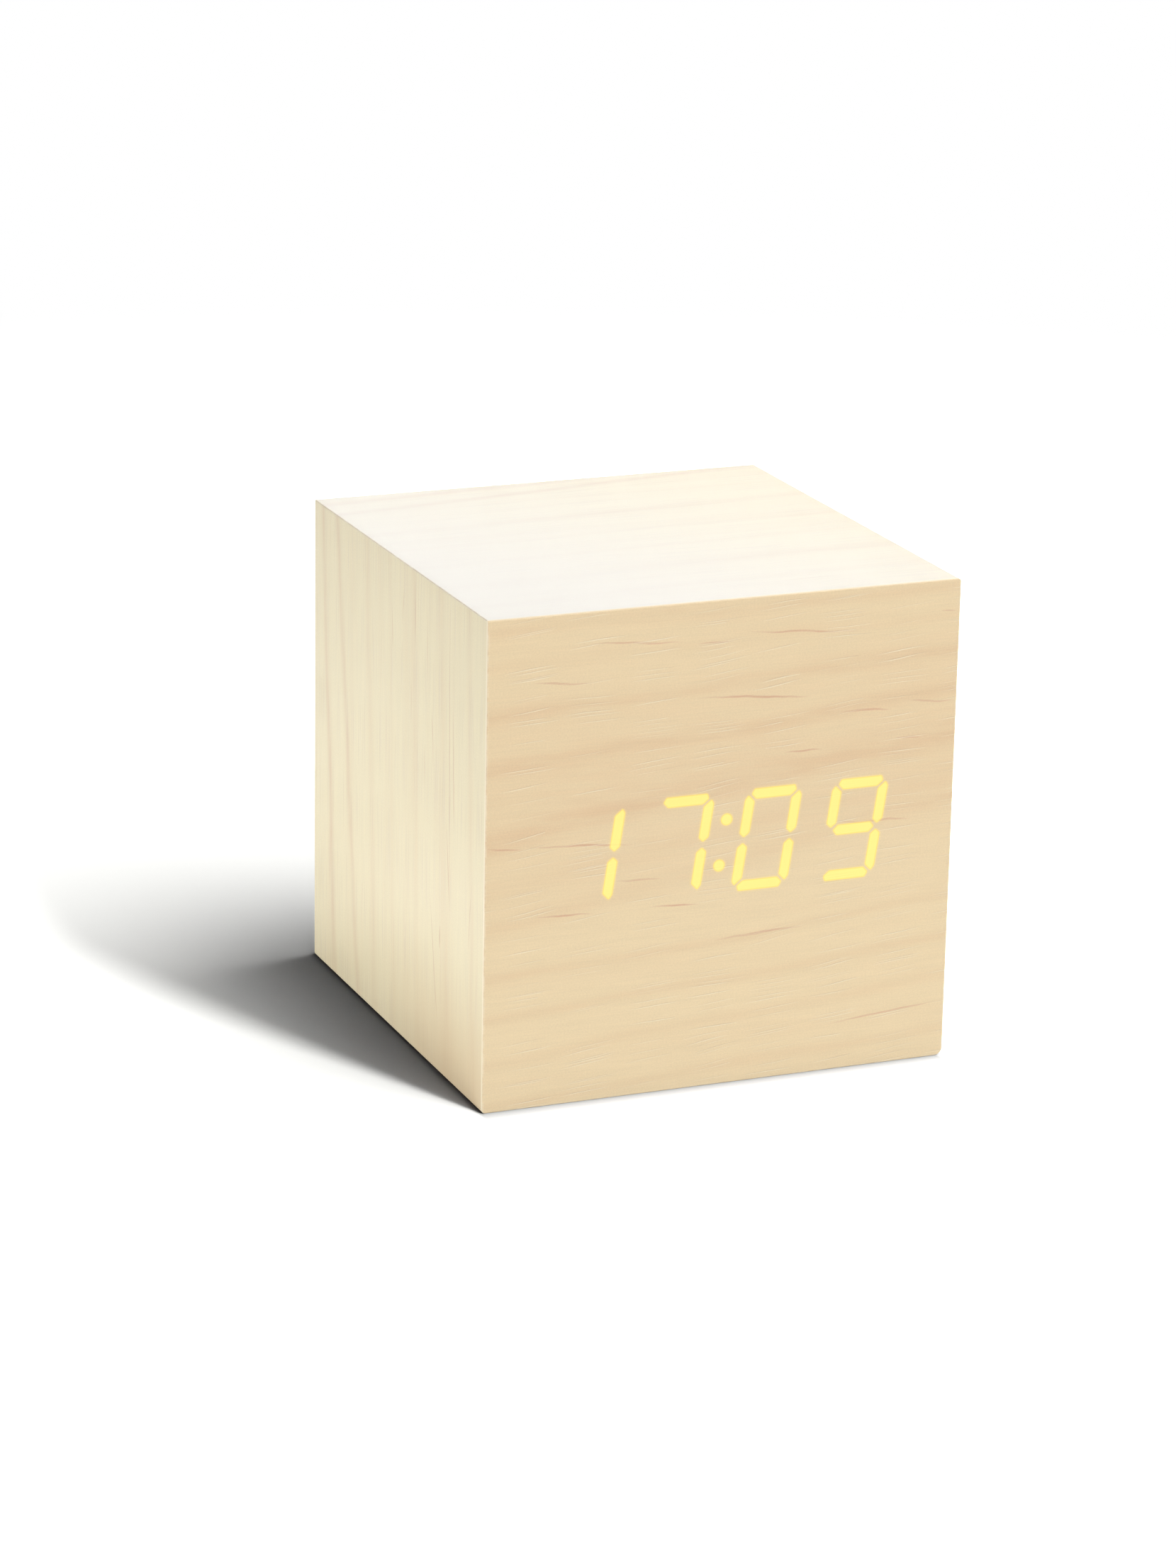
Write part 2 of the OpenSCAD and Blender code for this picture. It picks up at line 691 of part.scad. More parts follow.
// Middle line of the ribbon in y and z: level at both ends, with a sag between
ribbon_from_y = display_back_y + socket_size.z - socket_pocket + seat_gap;
ribbon_to_y = control_y - socket_size.z + socket_pocket - seat_gap;
ribbon_end = socket_pocket;
function ribbon_rise(u) = u * u * (3 - 2 * u);
ribbon_run = ribbon_to_y - ribbon_from_y - 2 * ribbon_end;
ribbon_climb = control_socket_z - display_socket_z;
function ribbon_point(u) = [ribbon_from_y + ribbon_end + u * ribbon_run,
    display_socket_z + ribbon_climb * ribbon_rise(u) - ribbon_sag * pow(sin(180 * u), 2)];
ribbon_line = concat([[ribbon_from_y, display_socket_z]],
    [for (i = [0:ribbon_steps]) ribbon_point(i / ribbon_steps)], [[ribbon_to_y, control_socket_z]]);
function ribbon_side(i, side) =
    let(t = tangent(ribbon_line, i)) ribbon_line[i] + side * ribbon_t / 2 * [-t.y, t.x];
module ribbon_cable() {
    ends = len(ribbon_line) - 1;
    color("lightgray") translate([-ribbon_w / 2, 0, 0]) rotate([90, 0, 90]) linear_extrude(ribbon_w)
        polygon(concat([for (i = [0:ends]) ribbon_side(i, -1)], [for (i = [ends:-1:0]) ribbon_side(i, 1)]));
}

// Controls behind the back cover
module control_board() {
    color("darkgreen") difference() {
        block(0, control_mid_z, control_w, control_top_z - control_z, control_y, control_back_y);
        at_control_screws()
            round_bar(0, 0, screw_hole_d, control_y - cut_over, control_back_y + cut_over);
    }
}
module control_screws() {
    color("silver") at_control_screws() rearward(0, control_y, 0) pan_screw(pcb_t + control_screw_bite);
}
module capacitors() {
    can_d = 5;
    can_l = 7;
    can_x = socket_size.x / 2 + bay_gap + can_d / 2;
    color("midnightblue") for (side = [-1, 1])
        round_bar(side * can_x, control_mid_z, can_d, control_y - can_l, control_y);
}
module tact_switches() {
    color("dimgray") for (i = [-1:1]) difference() {
        block(i * button_pitch, button_z, tact_s, tact_s, control_back_y, tact_y);
        round_bar(i * button_pitch, button_z, plunger_d + 2 * plunger_gap, tact_y - plunger_well,
            tact_y + cut_over);
    }
}
module plunger(i) {
    color("black") round_bar(i * button_pitch, button_z, plunger_d, tact_y - plunger_in, plunger_top_y);
}
module set_plunger() { plunger(-1); }
module up_plunger() { plunger(0); }
module down_plunger() { plunger(1); }
// Turned outline of a button: stem, flange behind the cover, cap with a broken edge
module button(i) {
    start_y = plunger_top_y + plunger_gap;
    flange_y = cover_in_y - part_gap - button_flange_t - start_y;
    flange_end = flange_y + button_flange_t;
    cap_end = cover_y + button_out - start_y;
    stem_r = button_stem_d / 2;
    flange_r = button_flange_d / 2;
    cap_r = button_d / 2;
    color("dimgray") rearward(i * button_pitch, start_y, button_z) rotate_extrude()
        polygon([[0, 0], [stem_r, 0], [stem_r, flange_y], [flange_r, flange_y], [flange_r, flange_end],
            [cap_r, flange_end], [cap_r, cap_end - button_edge], [cap_r - button_edge, cap_end],
            [0, cap_end]]);
}
module set_button() { button(-1); }
module up_button() { button(0); }
module down_button() { button(1); }
module slide_switch() {
    slot_w = lever_s + knob_travel + 2 * seat_gap;
    slot_h = lever_s + 2 * seat_gap;
    color("silver") difference() {
        block(slide_x, inlet_z, slide_w, slide_h, control_back_y, slide_y);
        block(slide_x, inlet_z, slot_w, slot_h, slide_y - lever_in - seat_gap, slide_y + cut_over);
    }
}
module switch_lever() {
    color("black") block(knob_rest_x, inlet_z, lever_s, lever_s, slide_y - lever_in, lever_top_y);
}
module slide_knob() {
    flange_y = cover_in_y - part_gap - knob_flange_t;
    socket_s = lever_s + 2 * plunger_gap;
    color("dimgray") translate([knob_rest_x, 0, inlet_z]) difference() {
        union() {
            block(0, 0, knob_w, knob_h, knob_in_y, cover_y + knob_out);
            block(0, 0, knob_flange_w, knob_flange_h, flange_y, flange_y + knob_flange_t);
        }
        block(0, 0, socket_s, socket_s, knob_in_y - cut_over, lever_top_y + plunger_gap);
        for (i = [-1:1]) translate([i * knob_w / 4, cover_y + knob_out, 0]) rotate([0, 0, 45])
            cube([grip_d, grip_d, knob_h + cut_over], center = true);
    }
}
module power_jack() {
    color("black") difference() {
        union() {
            block(jack_x, inlet_z, jack_s, jack_s, control_back_y, cover_in_y);
            round_bar(jack_x, inlet_z, jack_nose_d, cover_in_y - cut_over, cover_y);
        }
        round_bar(jack_x, inlet_z, jack_bore_d, jack_floor_y, cover_y + cut_over);
    }
}
module jack_pin() {
    straight = cover_y - jack_pin_in - jack_pin_tip - jack_floor_y;
    tip_d = jack_pin_d - 2 * jack_pin_tip;
    color("silver") rearward(jack_x, jack_floor_y, inlet_z) union() {
        cylinder(d = jack_pin_d, h = straight);
        translate([0, 0, straight]) cylinder(d1 = jack_pin_d, d2 = tip_d, h = jack_pin_tip);
    }
}
module buzzer() {
    port_d = 2;
    port_l = 1;
    color("black") difference() {
        round_bar(buzzer_x, inlet_z, buzzer_d, control_back_y, buzzer_y);
        round_bar(buzzer_x, inlet_z, port_d, buzzer_y - port_l, buzzer_y + cut_over);
    }
}
module microphone() {
    color("silver") round_bar(mic_x, inlet_z, mic_d, control_back_y, control_back_y + mic_h);
}

// Back cover with the battery bay
module back_cover() {
    color("darkslategray") difference() {
        union() {
            block(0, mid_z, cover_w, cover_h, cover_in_y, cover_y);
            at_hooks(0);
            block(0, bay_mid_z, bay_in_l + 2 * bay_wall, bay_in_h + 2 * bay_wall, bay_y, cover_y);
            at_control_screws() round_bar(0, 0, boss_d, control_back_y, cover_in_y + cover_t / 2);
        }
        bay_room();
        control_openings();
        at_corner_blocks() {
            round_bar(0, 0, screw_hole_d, cover_in_y - cut_over, cover_y);
            forward(0, cover_y, 0) cylinder(
                d1 = cover_screw_head_d + 2 * screw_gap, d2 = screw_hole_d, h = cover_screw_head_h);
        }
        at_control_screws() round_bar(0, 0, screw_hole_d, control_back_y - cut_over,
            control_back_y + control_screw_bite + screw_gap);
    }
}
// Room for the cells, the door with its tabs and finger notch, and the solder tabs
module bay_room() {
    tab_room_h = tab_l + part_gap + door_lip + bay_wall;
    block(0, bay_mid_z, bay_in_l, bay_in_h, ridge_y, cover_y + cut_over);
    for (z = cell_zs) translate([-bay_in_l / 2, cell_y, z]) rotate([0, 90, 0])
        cylinder(r = groove_r, h = bay_in_l);
    block(0, bay_mid_z, door_w + 2 * door_gap, door_h + 2 * door_gap, door_in_y, cover_y + cut_over);
    for (side = [-1, 1])
        block(side * tab_x, door_z - tab_l - part_gap + tab_room_h / 2, tab_w + 2 * door_gap, tab_room_h,
            tab_y - tab_t - tab_room, tab_y + part_gap);
    block(0, door_z + door_h + notch_h / 2, notch_w, notch_h, cover_y - notch_d, cover_y + cut_over);
    solder_slot(-1, cell_zs[2]);
    solder_slot(1, cell_zs[0]);
}
module solder_slot(side, z) {
    block(side * plate_x, z, plate_t + 2 * seat_gap, solder_w + 2 * seat_gap, bay_y - cut_over,
        ridge_y + cut_over);
}
// Openings for the buttons, the slide knob, the jack's nose and the sound
module control_openings() {
    low = cover_in_y - cut_over;
    high = cover_y + cut_over;
    for (i = [-1:1]) round_bar(i * button_pitch, button_z, button_d + 2 * button_gap, low, high);
    block(slide_x, inlet_z, knob_slot_w, knob_h + 2 * button_gap, low, high);
    round_bar(jack_x, inlet_z, jack_nose_d + 2 * seat_gap, low, high);
    round_bar(mic_x, inlet_z, sound_hole_d, low, high);
    round_bar(buzzer_x, inlet_z, sound_hole_d, low, high);
    for (a = [0:60:300])
        round_bar(buzzer_x + sound_ring_r * cos(a), inlet_z + sound_ring_r * sin(a), sound_hole_d,
            low, high);
}
module cover_screws() {
    color("silver") at_corner_blocks() forward(0, cover_y, 0) flush_screw(cover_screw_l);
}

// Batteries and their contacts; each cell's nub points the other way from its neighbour's
function nub_side(i) = i == 1 ? 1 : -1;
module battery_cells() {
    color("goldenrod") for (i = [0:2]) {
        side = nub_side(i);
        translate([side * (bay_in_l / 2 - plate_t), cell_y, cell_zs[i]]) rotate([0, -side * 90, 0]) {
            cylinder(d = nub_d, h = nub_l);
            translate([0, 0, nub_l]) cylinder(d = cell_d, h = cell_l - nub_l);
        }
    }
}
module contact_plate(side, low_z, high_z) {
    block(side * plate_x, (low_z + high_z) / 2, plate_t, high_z - low_z + plate_h,
        plate_y, plate_y + plate_d);
}
module solder_tab(side, z) {
    block(side * plate_x, z, plate_t, solder_w, bay_y - solder_l, plate_y + plate_d / 2);
}
module contact_plates() {
    color("silver") {
        contact_plate(-1, cell_zs[2], cell_zs[2]);
        solder_tab(-1, cell_zs[2]);
        contact_plate(-1, cell_zs[0], cell_zs[1]);
        contact_plate(1, cell_zs[1], cell_zs[2]);
        contact_plate(1, cell_zs[0], cell_zs[0]);
        solder_tab(1, cell_zs[0]);
    }
}
module contact_springs() {
    color("silver") for (i = [0:2]) {
        side = -nub_side(i);
        translate([side * (bay_in_l / 2 - plate_t), cell_y, cell_zs[i]]) rotate([0, 0, side > 0 ? 180 : 0])
            tube(spring_points, spring_tangents, [0.2, 0.4, 1], spring_wire_d / 2, spring_sides);
    }
}
module battery_door() {
    top_z = door_z + door_h;
    slit_x = (tongue_w + tongue_slit) / 2;
    color("darkslategray") difference() {
        union() {
            block(0, bay_mid_z, door_w, door_h, door_in_y, cover_y);
            for (side = [-1, 1]) {
                block(side * tab_x, door_z, tab_w, 2 * tab_l, tab_y - tab_t, tab_y);
                block(side * tab_x, door_z + tab_l / 2, tab_w, tab_l, tab_y - tab_t, door_in_y + seat_gap);
            }
            block(0, top_z, tongue_w, 2 * tongue_nose, door_in_y, cover_y - notch_d);
        }
        for (side = [-1, 1])
            block(side * slit_x, top_z, tongue_slit, 2 * tongue_l, door_in_y - cut_over, cover_y + cut_over);
        for (i = [1:grip_count]) translate([0, cover_y, top_z - i * grip_pitch]) rotate([45, 0, 0])
            cube([tongue_w - grip_pitch, grip_d, grip_d], center = true);
    }
}
module positive_lead() { color("red") lead(-1, cell_zs[2]); }
module negative_lead() { color("black") lead(1, cell_zs[0]); }

top_panel();
bottom_panel();
left_panel();
right_panel();
case_veneer();
front_board();
front_veneer();
lit_segments();
corner_blocks();
led_reflector();
segment_fills();
led_chips();
display_board();
display_spacers();
display_screws();
clock_chip();
quartz_crystal();
chip_resistors();
backup_cell();
cell_clip();
display_socket();
ribbon_cable();
control_board();
control_screws();
control_socket();
capacitors();
tact_switches();
set_plunger();
up_plunger();
down_plunger();
set_button();
up_button();
down_button();
slide_switch();
switch_lever();
slide_knob();
power_jack();
jack_pin();
buzzer();
microphone();
back_cover();
cover_screws();
battery_cells();
contact_plates();
contact_springs();
battery_door();
positive_lead();
negative_lead();
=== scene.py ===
# Cube alarm clock: veneered case, light digits behind the front veneer, keys and battery door behind
import json
import math

import bmesh
import bpy
import numpy as np
from mathutils import Matrix, Vector
from mathutils.geometry import delaunay_2d_cdt


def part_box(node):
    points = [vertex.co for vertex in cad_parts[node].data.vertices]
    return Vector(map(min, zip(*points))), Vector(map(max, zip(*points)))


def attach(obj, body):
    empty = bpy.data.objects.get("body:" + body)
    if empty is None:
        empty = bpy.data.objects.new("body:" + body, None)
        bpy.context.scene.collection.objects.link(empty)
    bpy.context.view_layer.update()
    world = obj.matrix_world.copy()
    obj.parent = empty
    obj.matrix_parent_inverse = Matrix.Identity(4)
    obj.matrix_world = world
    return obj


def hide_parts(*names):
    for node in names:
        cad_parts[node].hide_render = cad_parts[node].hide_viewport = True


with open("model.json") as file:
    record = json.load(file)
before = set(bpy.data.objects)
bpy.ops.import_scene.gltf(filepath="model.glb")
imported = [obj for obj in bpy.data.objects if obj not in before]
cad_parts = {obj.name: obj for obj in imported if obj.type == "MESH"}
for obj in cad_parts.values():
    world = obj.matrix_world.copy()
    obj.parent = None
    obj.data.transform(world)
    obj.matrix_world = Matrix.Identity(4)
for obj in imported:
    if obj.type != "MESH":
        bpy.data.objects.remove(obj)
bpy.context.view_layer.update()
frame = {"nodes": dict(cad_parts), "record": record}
scene = bpy.context.scene
scene.view_settings.view_transform = "Standard"
mm = 0.001
print("frame loaded with", len(frame["nodes"]), "nodes")


def tint(red, green, blue):
    # display colour from 0 to 255 as a linear colour
    share = np.array([red, green, blue]) / 255
    linear = np.where(share <= 0.04045, share / 12.92, ((share + 0.055) / 1.055) ** 2.4)
    return (*linear.tolist(), 1.0)


# Shader expressions

class Wire:
    # a socket in an expression; each operator adds its Math node
    def __init__(self, bench, socket):
        self.bench = bench
        self.socket = socket

    def math(self, operation, *rest):
        return self.bench.add("Math", {"operation": operation}, dict(enumerate((self, *rest))))

    def __add__(self, other):
        return self.math("ADD", other)

    def __sub__(self, other):
        return self.math("SUBTRACT", other)

    def __rsub__(self, other):
        return self.math("MULTIPLY_ADD", -1.0, other)

    def __mul__(self, other):
        return self.math("MULTIPLY", other)

    def __truediv__(self, number):
        return self.math("MULTIPLY", 1 / number)

    def __neg__(self):
        return self.math("MULTIPLY", -1.0)

    def __abs__(self):
        return self.math("ABSOLUTE")

    __radd__ = __add__
    __rmul__ = __mul__

    def most(self, other):
        return self.math("MAXIMUM", other)

    def fall(self):
        # 1 at zero, dying away as the value grows
        return (-self).math("EXPONENT")

    def bell(self):
        # 1 at zero, dying away to both sides
        return (self * self).fall()

    def step(self, low, high):
        # soft step: 0 at low, 1 at high
        ends = {"Value": self, "From Min": low, "From Max": high}
        return self.bench.add("MapRange", {"interpolation_type": "SMOOTHSTEP"}, ends)

    def sibling(self, name):
        # another output of the node that this one comes from
        return Wire(self.bench, self.socket.node.outputs[name])


class Bench:
    # a node tree, with one way to add any node to it
    def __init__(self, tree):
        self.tree = tree

    def plug(self, socket, value):
        if isinstance(value, Wire):
            self.tree.links.new(value.socket, socket)
        else:
            socket.default_value = value

    def add(self, kind, settings=None, sockets=None, out=0):
        node = self.tree.nodes.new("ShaderNode" + kind)
        for name, value in (settings or {}).items():
            setattr(node, name, value)
        for name, value in (sockets or {}).items():
            self.plug(node.inputs[name], value)
        return Wire(self, node.outputs[out])

    def mix(self, share, first, second, blend="MIX"):
        settings = {"data_type": "RGBA", "blend_type": blend}
        return self.add("Mix", settings, {0: share, 6: first, 7: second}, out=2)

    def noise(self, spot, scale, detail=2.0, roughness=0.5, flat=False):
        settings = {"noise_dimensions": "2D" if flat else "3D"}
        sockets = {"Vector": spot, "Scale": scale, "Detail": detail, "Roughness": roughness}
        return self.add("TexNoise", settings, sockets)

    def join(self, x, y, z=0.0):
        return self.add("CombineXYZ", None, {0: x, 1: y, 2: z})

    def split(self, vector):
        first = self.add("SeparateXYZ", None, {0: vector})
        return first, first.sibling("Y"), first.sibling("Z")


class Finish(Bench):
    # one material; plain holds the values that are the same all over the surface
    def __init__(self, name, plain=None):
        self.material = bpy.data.materials.new(name)
        self.material.use_nodes = True
        super().__init__(self.material.node_tree)
        self.shader = self.tree.nodes["Principled BSDF"]
        self.wear(plain or {})

    def wear(self, sockets):
        for name, value in sockets.items():
            self.plug(self.shader.inputs[name], value)

    def spot(self):
        # place on the piece in millimetres
        place = self.add("TexCoord", out="Object")
        return self.add("VectorMath", {"operation": "SCALE"}, {0: place, "Scale": 1 / mm})

    def surface(self, colour, rough, height, depth):
        # depth is the height's full range in millimetres
        bump = self.add("Bump", None, {"Height": height, "Distance": depth * mm})
        self.wear({"Base Color": colour, "Roughness": rough, "Normal": bump})
        return self


# Mesh helpers: points are arrays of millimetres in the part's frame

cube = {
    "half": 34.0, "middle": 34.0,
    "radii": (1.1, 0.45, 0.12, 0.4),  # lower right, lower left, upper left, upper right
    "leastRadius": 0.02, "cornerSteps": 8, "edgeSteps": 4,
}
sharpAngle = 35  # an edge that turns by more degrees than this is shaded as an edge


def sideBySide(*values):
    # arrays and numbers side by side, as the coordinates of points or the corners of faces
    return np.stack(np.broadcast_arrays(*values), -1)


def unit(vectors):
    return vectors / np.linalg.norm(vectors, axis=-1, keepdims=True)


def ray(angle):
    # points at distance 1 under these angles
    return sideBySide(np.cos(angle), np.sin(angle))


def atDepth(outline, y):
    # outline of x and z as points at one depth
    return np.insert(outline, 1, y, axis=1)


def makePiece(name, shape, finish, slot, body="case", *nodes):
    # the shape is points and faces; the nodes are those that the piece stands in for
    points, faces = shape
    mesh = bpy.data.meshes.new(name)
    mesh.from_pydata((np.asarray(points, float).reshape(-1, 3) * mm).tolist(), [], faces)
    mesh.polygons.foreach_set("use_smooth", np.full(len(mesh.polygons), True))
    mesh.set_sharp_from_angle(angle=math.radians(sharpAngle))
    mesh.update()
    piece = bpy.data.objects.new(name, mesh)
    scene.collection.objects.link(piece)
    mesh.materials.append(finish.material)
    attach(piece, body)
    if nodes:
        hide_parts(*nodes)
    return piece


def gridFaces(rows, columns, closeRows=False, closeColumns=False):
    # quads between neighbours of a grid whose points are numbered row by row
    i = np.arange(rows if closeRows else rows - 1)[:, None]
    j = np.arange(columns if closeColumns else columns - 1)[None, :]
    nextI = (i + 1) % rows
    nextJ = (j + 1) % columns
    quads = (i * columns + j, i * columns + nextJ, nextI * columns + nextJ, nextI * columns + j)
    return sideBySide(*quads).reshape(-1, 4)


def circle(radius, sides):
    return ray(np.linspace(0, 2 * math.pi, sides, endpoint=False)) * radius


def cubeOutline(inset):
    # the cube's outline in x and z, moved in, clockwise seen from the front, from the lower right corner;
    # each corner is an arc about a centre that lies its radius inside both sides
    radii = np.maximum(np.array(cube["radii"]) - inset, cube["leastRadius"])
    signs = np.array([[1, -1], [-1, -1], [-1, 1], [1, 1]])
    angles = np.radians(np.array([0, 270, 180, 90])[:, None] - np.linspace(0, 90, cube["cornerSteps"] + 1))
    arcs = ray(angles) * radii[:, None, None]
    centres = signs * (cube["half"] - inset - radii)[:, None]
    return (centres[:, None] + arcs).reshape(-1, 2) + [0, cube["middle"]]


def runAlong(outline):
    # closed outline with its first point once more at the end, and the way along it to each point
    ring = np.vstack([outline, outline[:1]])
    return ring, np.concatenate([[0], np.cumsum(np.linalg.norm(np.diff(ring, axis=0), axis=1))])


def resampled(outline, spacing):
    # closed outline as points a fixed way apart along it
    ring, run = runAlong(outline)
    stops = np.linspace(0, run[-1], max(8, int(run[-1] / spacing)), endpoint=False)
    return sideBySide(*(np.interp(stops, run, values) for values in ring.T))


def turnedLeft(outline):
    # the outline counterclockwise
    x, z = outline.T
    area = np.sum(x * np.roll(z, -1) - np.roll(x, -1) * z)
    return outline if area > 0 else outline[::-1]


def facing(azimuth, elevation):
    # direction out of the cube; azimuth is counted from straight in front towards the right
    turn, lift = math.radians(azimuth), math.radians(elevation)
    return Vector((math.sin(turn) * math.cos(lift), -math.cos(turn) * math.cos(lift), math.sin(lift)))


# Camera, fitted to the corners of the cube in the photograph

camera = {
    "place": (-255.152, -601.876, 236.55),
    "azimuth": -22.525, "elevation": 17.342, "roll": 1.08,
    "focal": 6912.94, "photoHeight": 2212,  # pixels of the photograph
    "sensor": 36.0, "clip": (0.01, 20.0),
}


def makeCamera(c):
    back = facing(c["azimuth"], c["elevation"])
    right = (-back).cross(Vector((0, 0, 1))).normalized()
    up = right.cross(-back)
    roll = math.radians(c["roll"])
    turnedRight = math.cos(roll) * right + math.sin(roll) * up
    turnedUp = math.cos(roll) * up - math.sin(roll) * right
    data = bpy.data.cameras.new("camera")
    data.sensor_width = c["sensor"]
    data.lens = c["focal"] / c["photoHeight"] * c["sensor"]
    data.clip_start, data.clip_end = c["clip"]
    made = bpy.data.objects.new("camera", data)
    turn = Matrix((turnedRight, turnedUp, back)).transposed().to_4x4()
    made.matrix_world = Matrix.Translation(Vector(c["place"]) * mm) @ turn
    scene.collection.objects.link(made)
    scene.camera = made


makeCamera(camera)
print("camera set")

# Lamps: a sun and a broad softbox on the right, a sheen light behind, two low fills on the left

lamps = {
    "key": {"azimuth": 23, "elevation": 36, "away": 2.0, "strength": 1.35, "angle": 7.6},
    "softbox": {"azimuth": 55, "elevation": 55, "away": 1.6, "strength": 22.4, "size": (1.53, 1.75)},
    "sheen": {"azimuth": 155, "elevation": 18, "away": 0.9, "strength": 2.65, "size": (1.0, 0.4)},
    "fill": {"azimuth": -90, "elevation": -3, "away": 0.3, "strength": 0.395, "size": (0.12, 0.03)},
    "footFill": {"azimuth": -99, "elevation": -24.5, "away": 0.0747, "strength": 0.0072,
                 "size": (0.1, 0.004)},
}


def makeLamp(name, l):
    # the lamp looks at the cube's middle
    back = facing(l["azimuth"], l["elevation"])
    data = bpy.data.lights.new(name, "SUN" if "angle" in l else "AREA")
    data.energy = l["strength"]
    data.cycles.use_multiple_importance_sampling = False
    if "angle" in l:
        data.angle = math.radians(l["angle"])
    else:
        data.shape = "RECTANGLE"
        data.size, data.size_y = l["size"]
    made = bpy.data.objects.new(name, data)
    made.rotation_mode = "QUATERNION"
    made.rotation_quaternion = back.to_track_quat("Z", "Y")
    made.location = Vector((0, 0, cube["middle"] * mm)) + back * l["away"]
    made.visible_camera = False
    scene.collection.objects.link(made)
    return made


lampObjects = {name: makeLamp(name, settings) for name, settings in lamps.items()}

# World and floor

stage = {
    "skyForSight": 1.0, "skyForLight": 0.02,
    "floorShade": 0.96,
    "floorSeen": (2.4, 2.4, 2.34),  # the floor's colour as the camera sees it, so that lit paper is white
    # the dark line at the foot is a painted shadow on the floor
    "litPaintedShadow": (0.68, 4.2),  # depth and reach of the dark line at the foot, on the lit and shaded sides
    "shadedPaintedShadow": (0.7, 0.4),
    "rightFade": 3.0,  # how much sooner the line ends on the right
    "floorReach": 6.0,
    "white": (260.0, 480.0),  # from here the floor goes over into plain white, millimetres from its middle
    "notLitBy": ("fill", "footFill", "sheen"),  # so that these leave the floor's shadow alone
}


def seenWays(bench):
    # 1 for a ray from the camera, a mirror or clear glass
    sight = bench.add("LightPath", out="Is Camera Ray")
    return sight.most(sight.sibling("Is Glossy Ray")).most(sight.sibling("Is Transmission Ray"))


def makeWorld(s):
    world = bpy.data.worlds.new("studio")
    world.use_nodes = True
    scene.world = world
    sky = Bench(world.node_tree)
    background = world.node_tree.nodes["Background"].inputs
    background["Color"].default_value = (1, 1, 1, 1)
    sky.plug(background["Strength"], seenWays(sky) * (s["skyForSight"] - s["skyForLight"]) + s["skyForLight"])


def floorFinish(s):
    # white paper with a painted shadow round the cube's foot, a dark line which fades with the distance from
    # it
    finish = Finish("floorPaper")
    seen = seenWays(finish)
    spot = finish.spot()
    x, y, _ = finish.split(spot)
    half = cube["half"]
    right = x - (half - cube["radii"][0])  # the round lower right corner stands clear of the floor
    beside = (-x - half).most(right).most(abs(y) - half).most(0.0)

    def paintedShadowLine(off, depth, reach):
        return (off / reach).fall() * depth

    # painted shadow: the floor is darker near the foot, softer and wider on the lit front
    lit = paintedShadowLine(beside.most(right * s["rightFade"]), *s["litPaintedShadow"])
    shaded = paintedShadowLine(beside, *s["shadedPaintedShadow"])
    paintedShadow = lit + (shaded - lit) * (-x).most(y).step(half, half + 1.0)  # left and rear are shaded
    paint = [seen * ((1.0 - paintedShadow) * level - s["floorShade"]) + s["floorShade"] for level in s["floorSeen"]]
    paper = finish.add("BsdfDiffuse", None, {"Color": finish.join(*paint)})
    away = finish.add("VectorMath", {"operation": "LENGTH"}, {0: spot}, out="Value")
    glow = finish.add("Emission", None, {"Color": (1, 1, 1, 1), "Strength": 1.0})
    both = finish.add("MixShader", None, {0: away.step(*s["white"]) * seen, 1: paper, 2: glow})
    finish.plug(finish.tree.nodes["Material Output"].inputs["Surface"], both)
    finish.tree.nodes.remove(finish.shader)
    return finish


def makeFloor(s):
    reach = s["floorReach"]
    corners = [(-reach, -reach, 0), (reach, -reach, 0), (reach, reach, 0), (-reach, reach, 0)]
    mesh = bpy.data.meshes.new("floor")
    mesh.from_pydata(corners, [], [(0, 1, 2, 3)])
    mesh.materials.append(floorFinish(s).material)
    floor = bpy.data.objects.new("floor", mesh)
    scene.collection.objects.link(floor)
    exceptFloor = bpy.data.collections.new("exceptFloor")
    exceptFloor.objects.link(floor)
    exceptFloor.collection_objects[0].light_linking.link_state = "EXCLUDE"
    for name in s["notLitBy"]:
        lampObjects[name].light_linking.receiver_collection = exceptFloor


makeWorld(stage)
makeFloor(stage)
print("lamps and floor set")

# Veneer: colour and relief from places along and across the grain

grainNoise = {
    # size along and across the grain in millimetres, detail, shift
    "wave": (34, 9, 2, 4.3), "soft": (70, 4, 2, 11.7), "cloud": (11, 1.3, 4, 2.1), "fibre": (9, 0.2, 3, 7.9),
    "grit": (0.26, 0.2, 2, 5.5), "fine": (7, 3, 2, 1.3), "crowd": (24, 5, 2, 9.1),
}


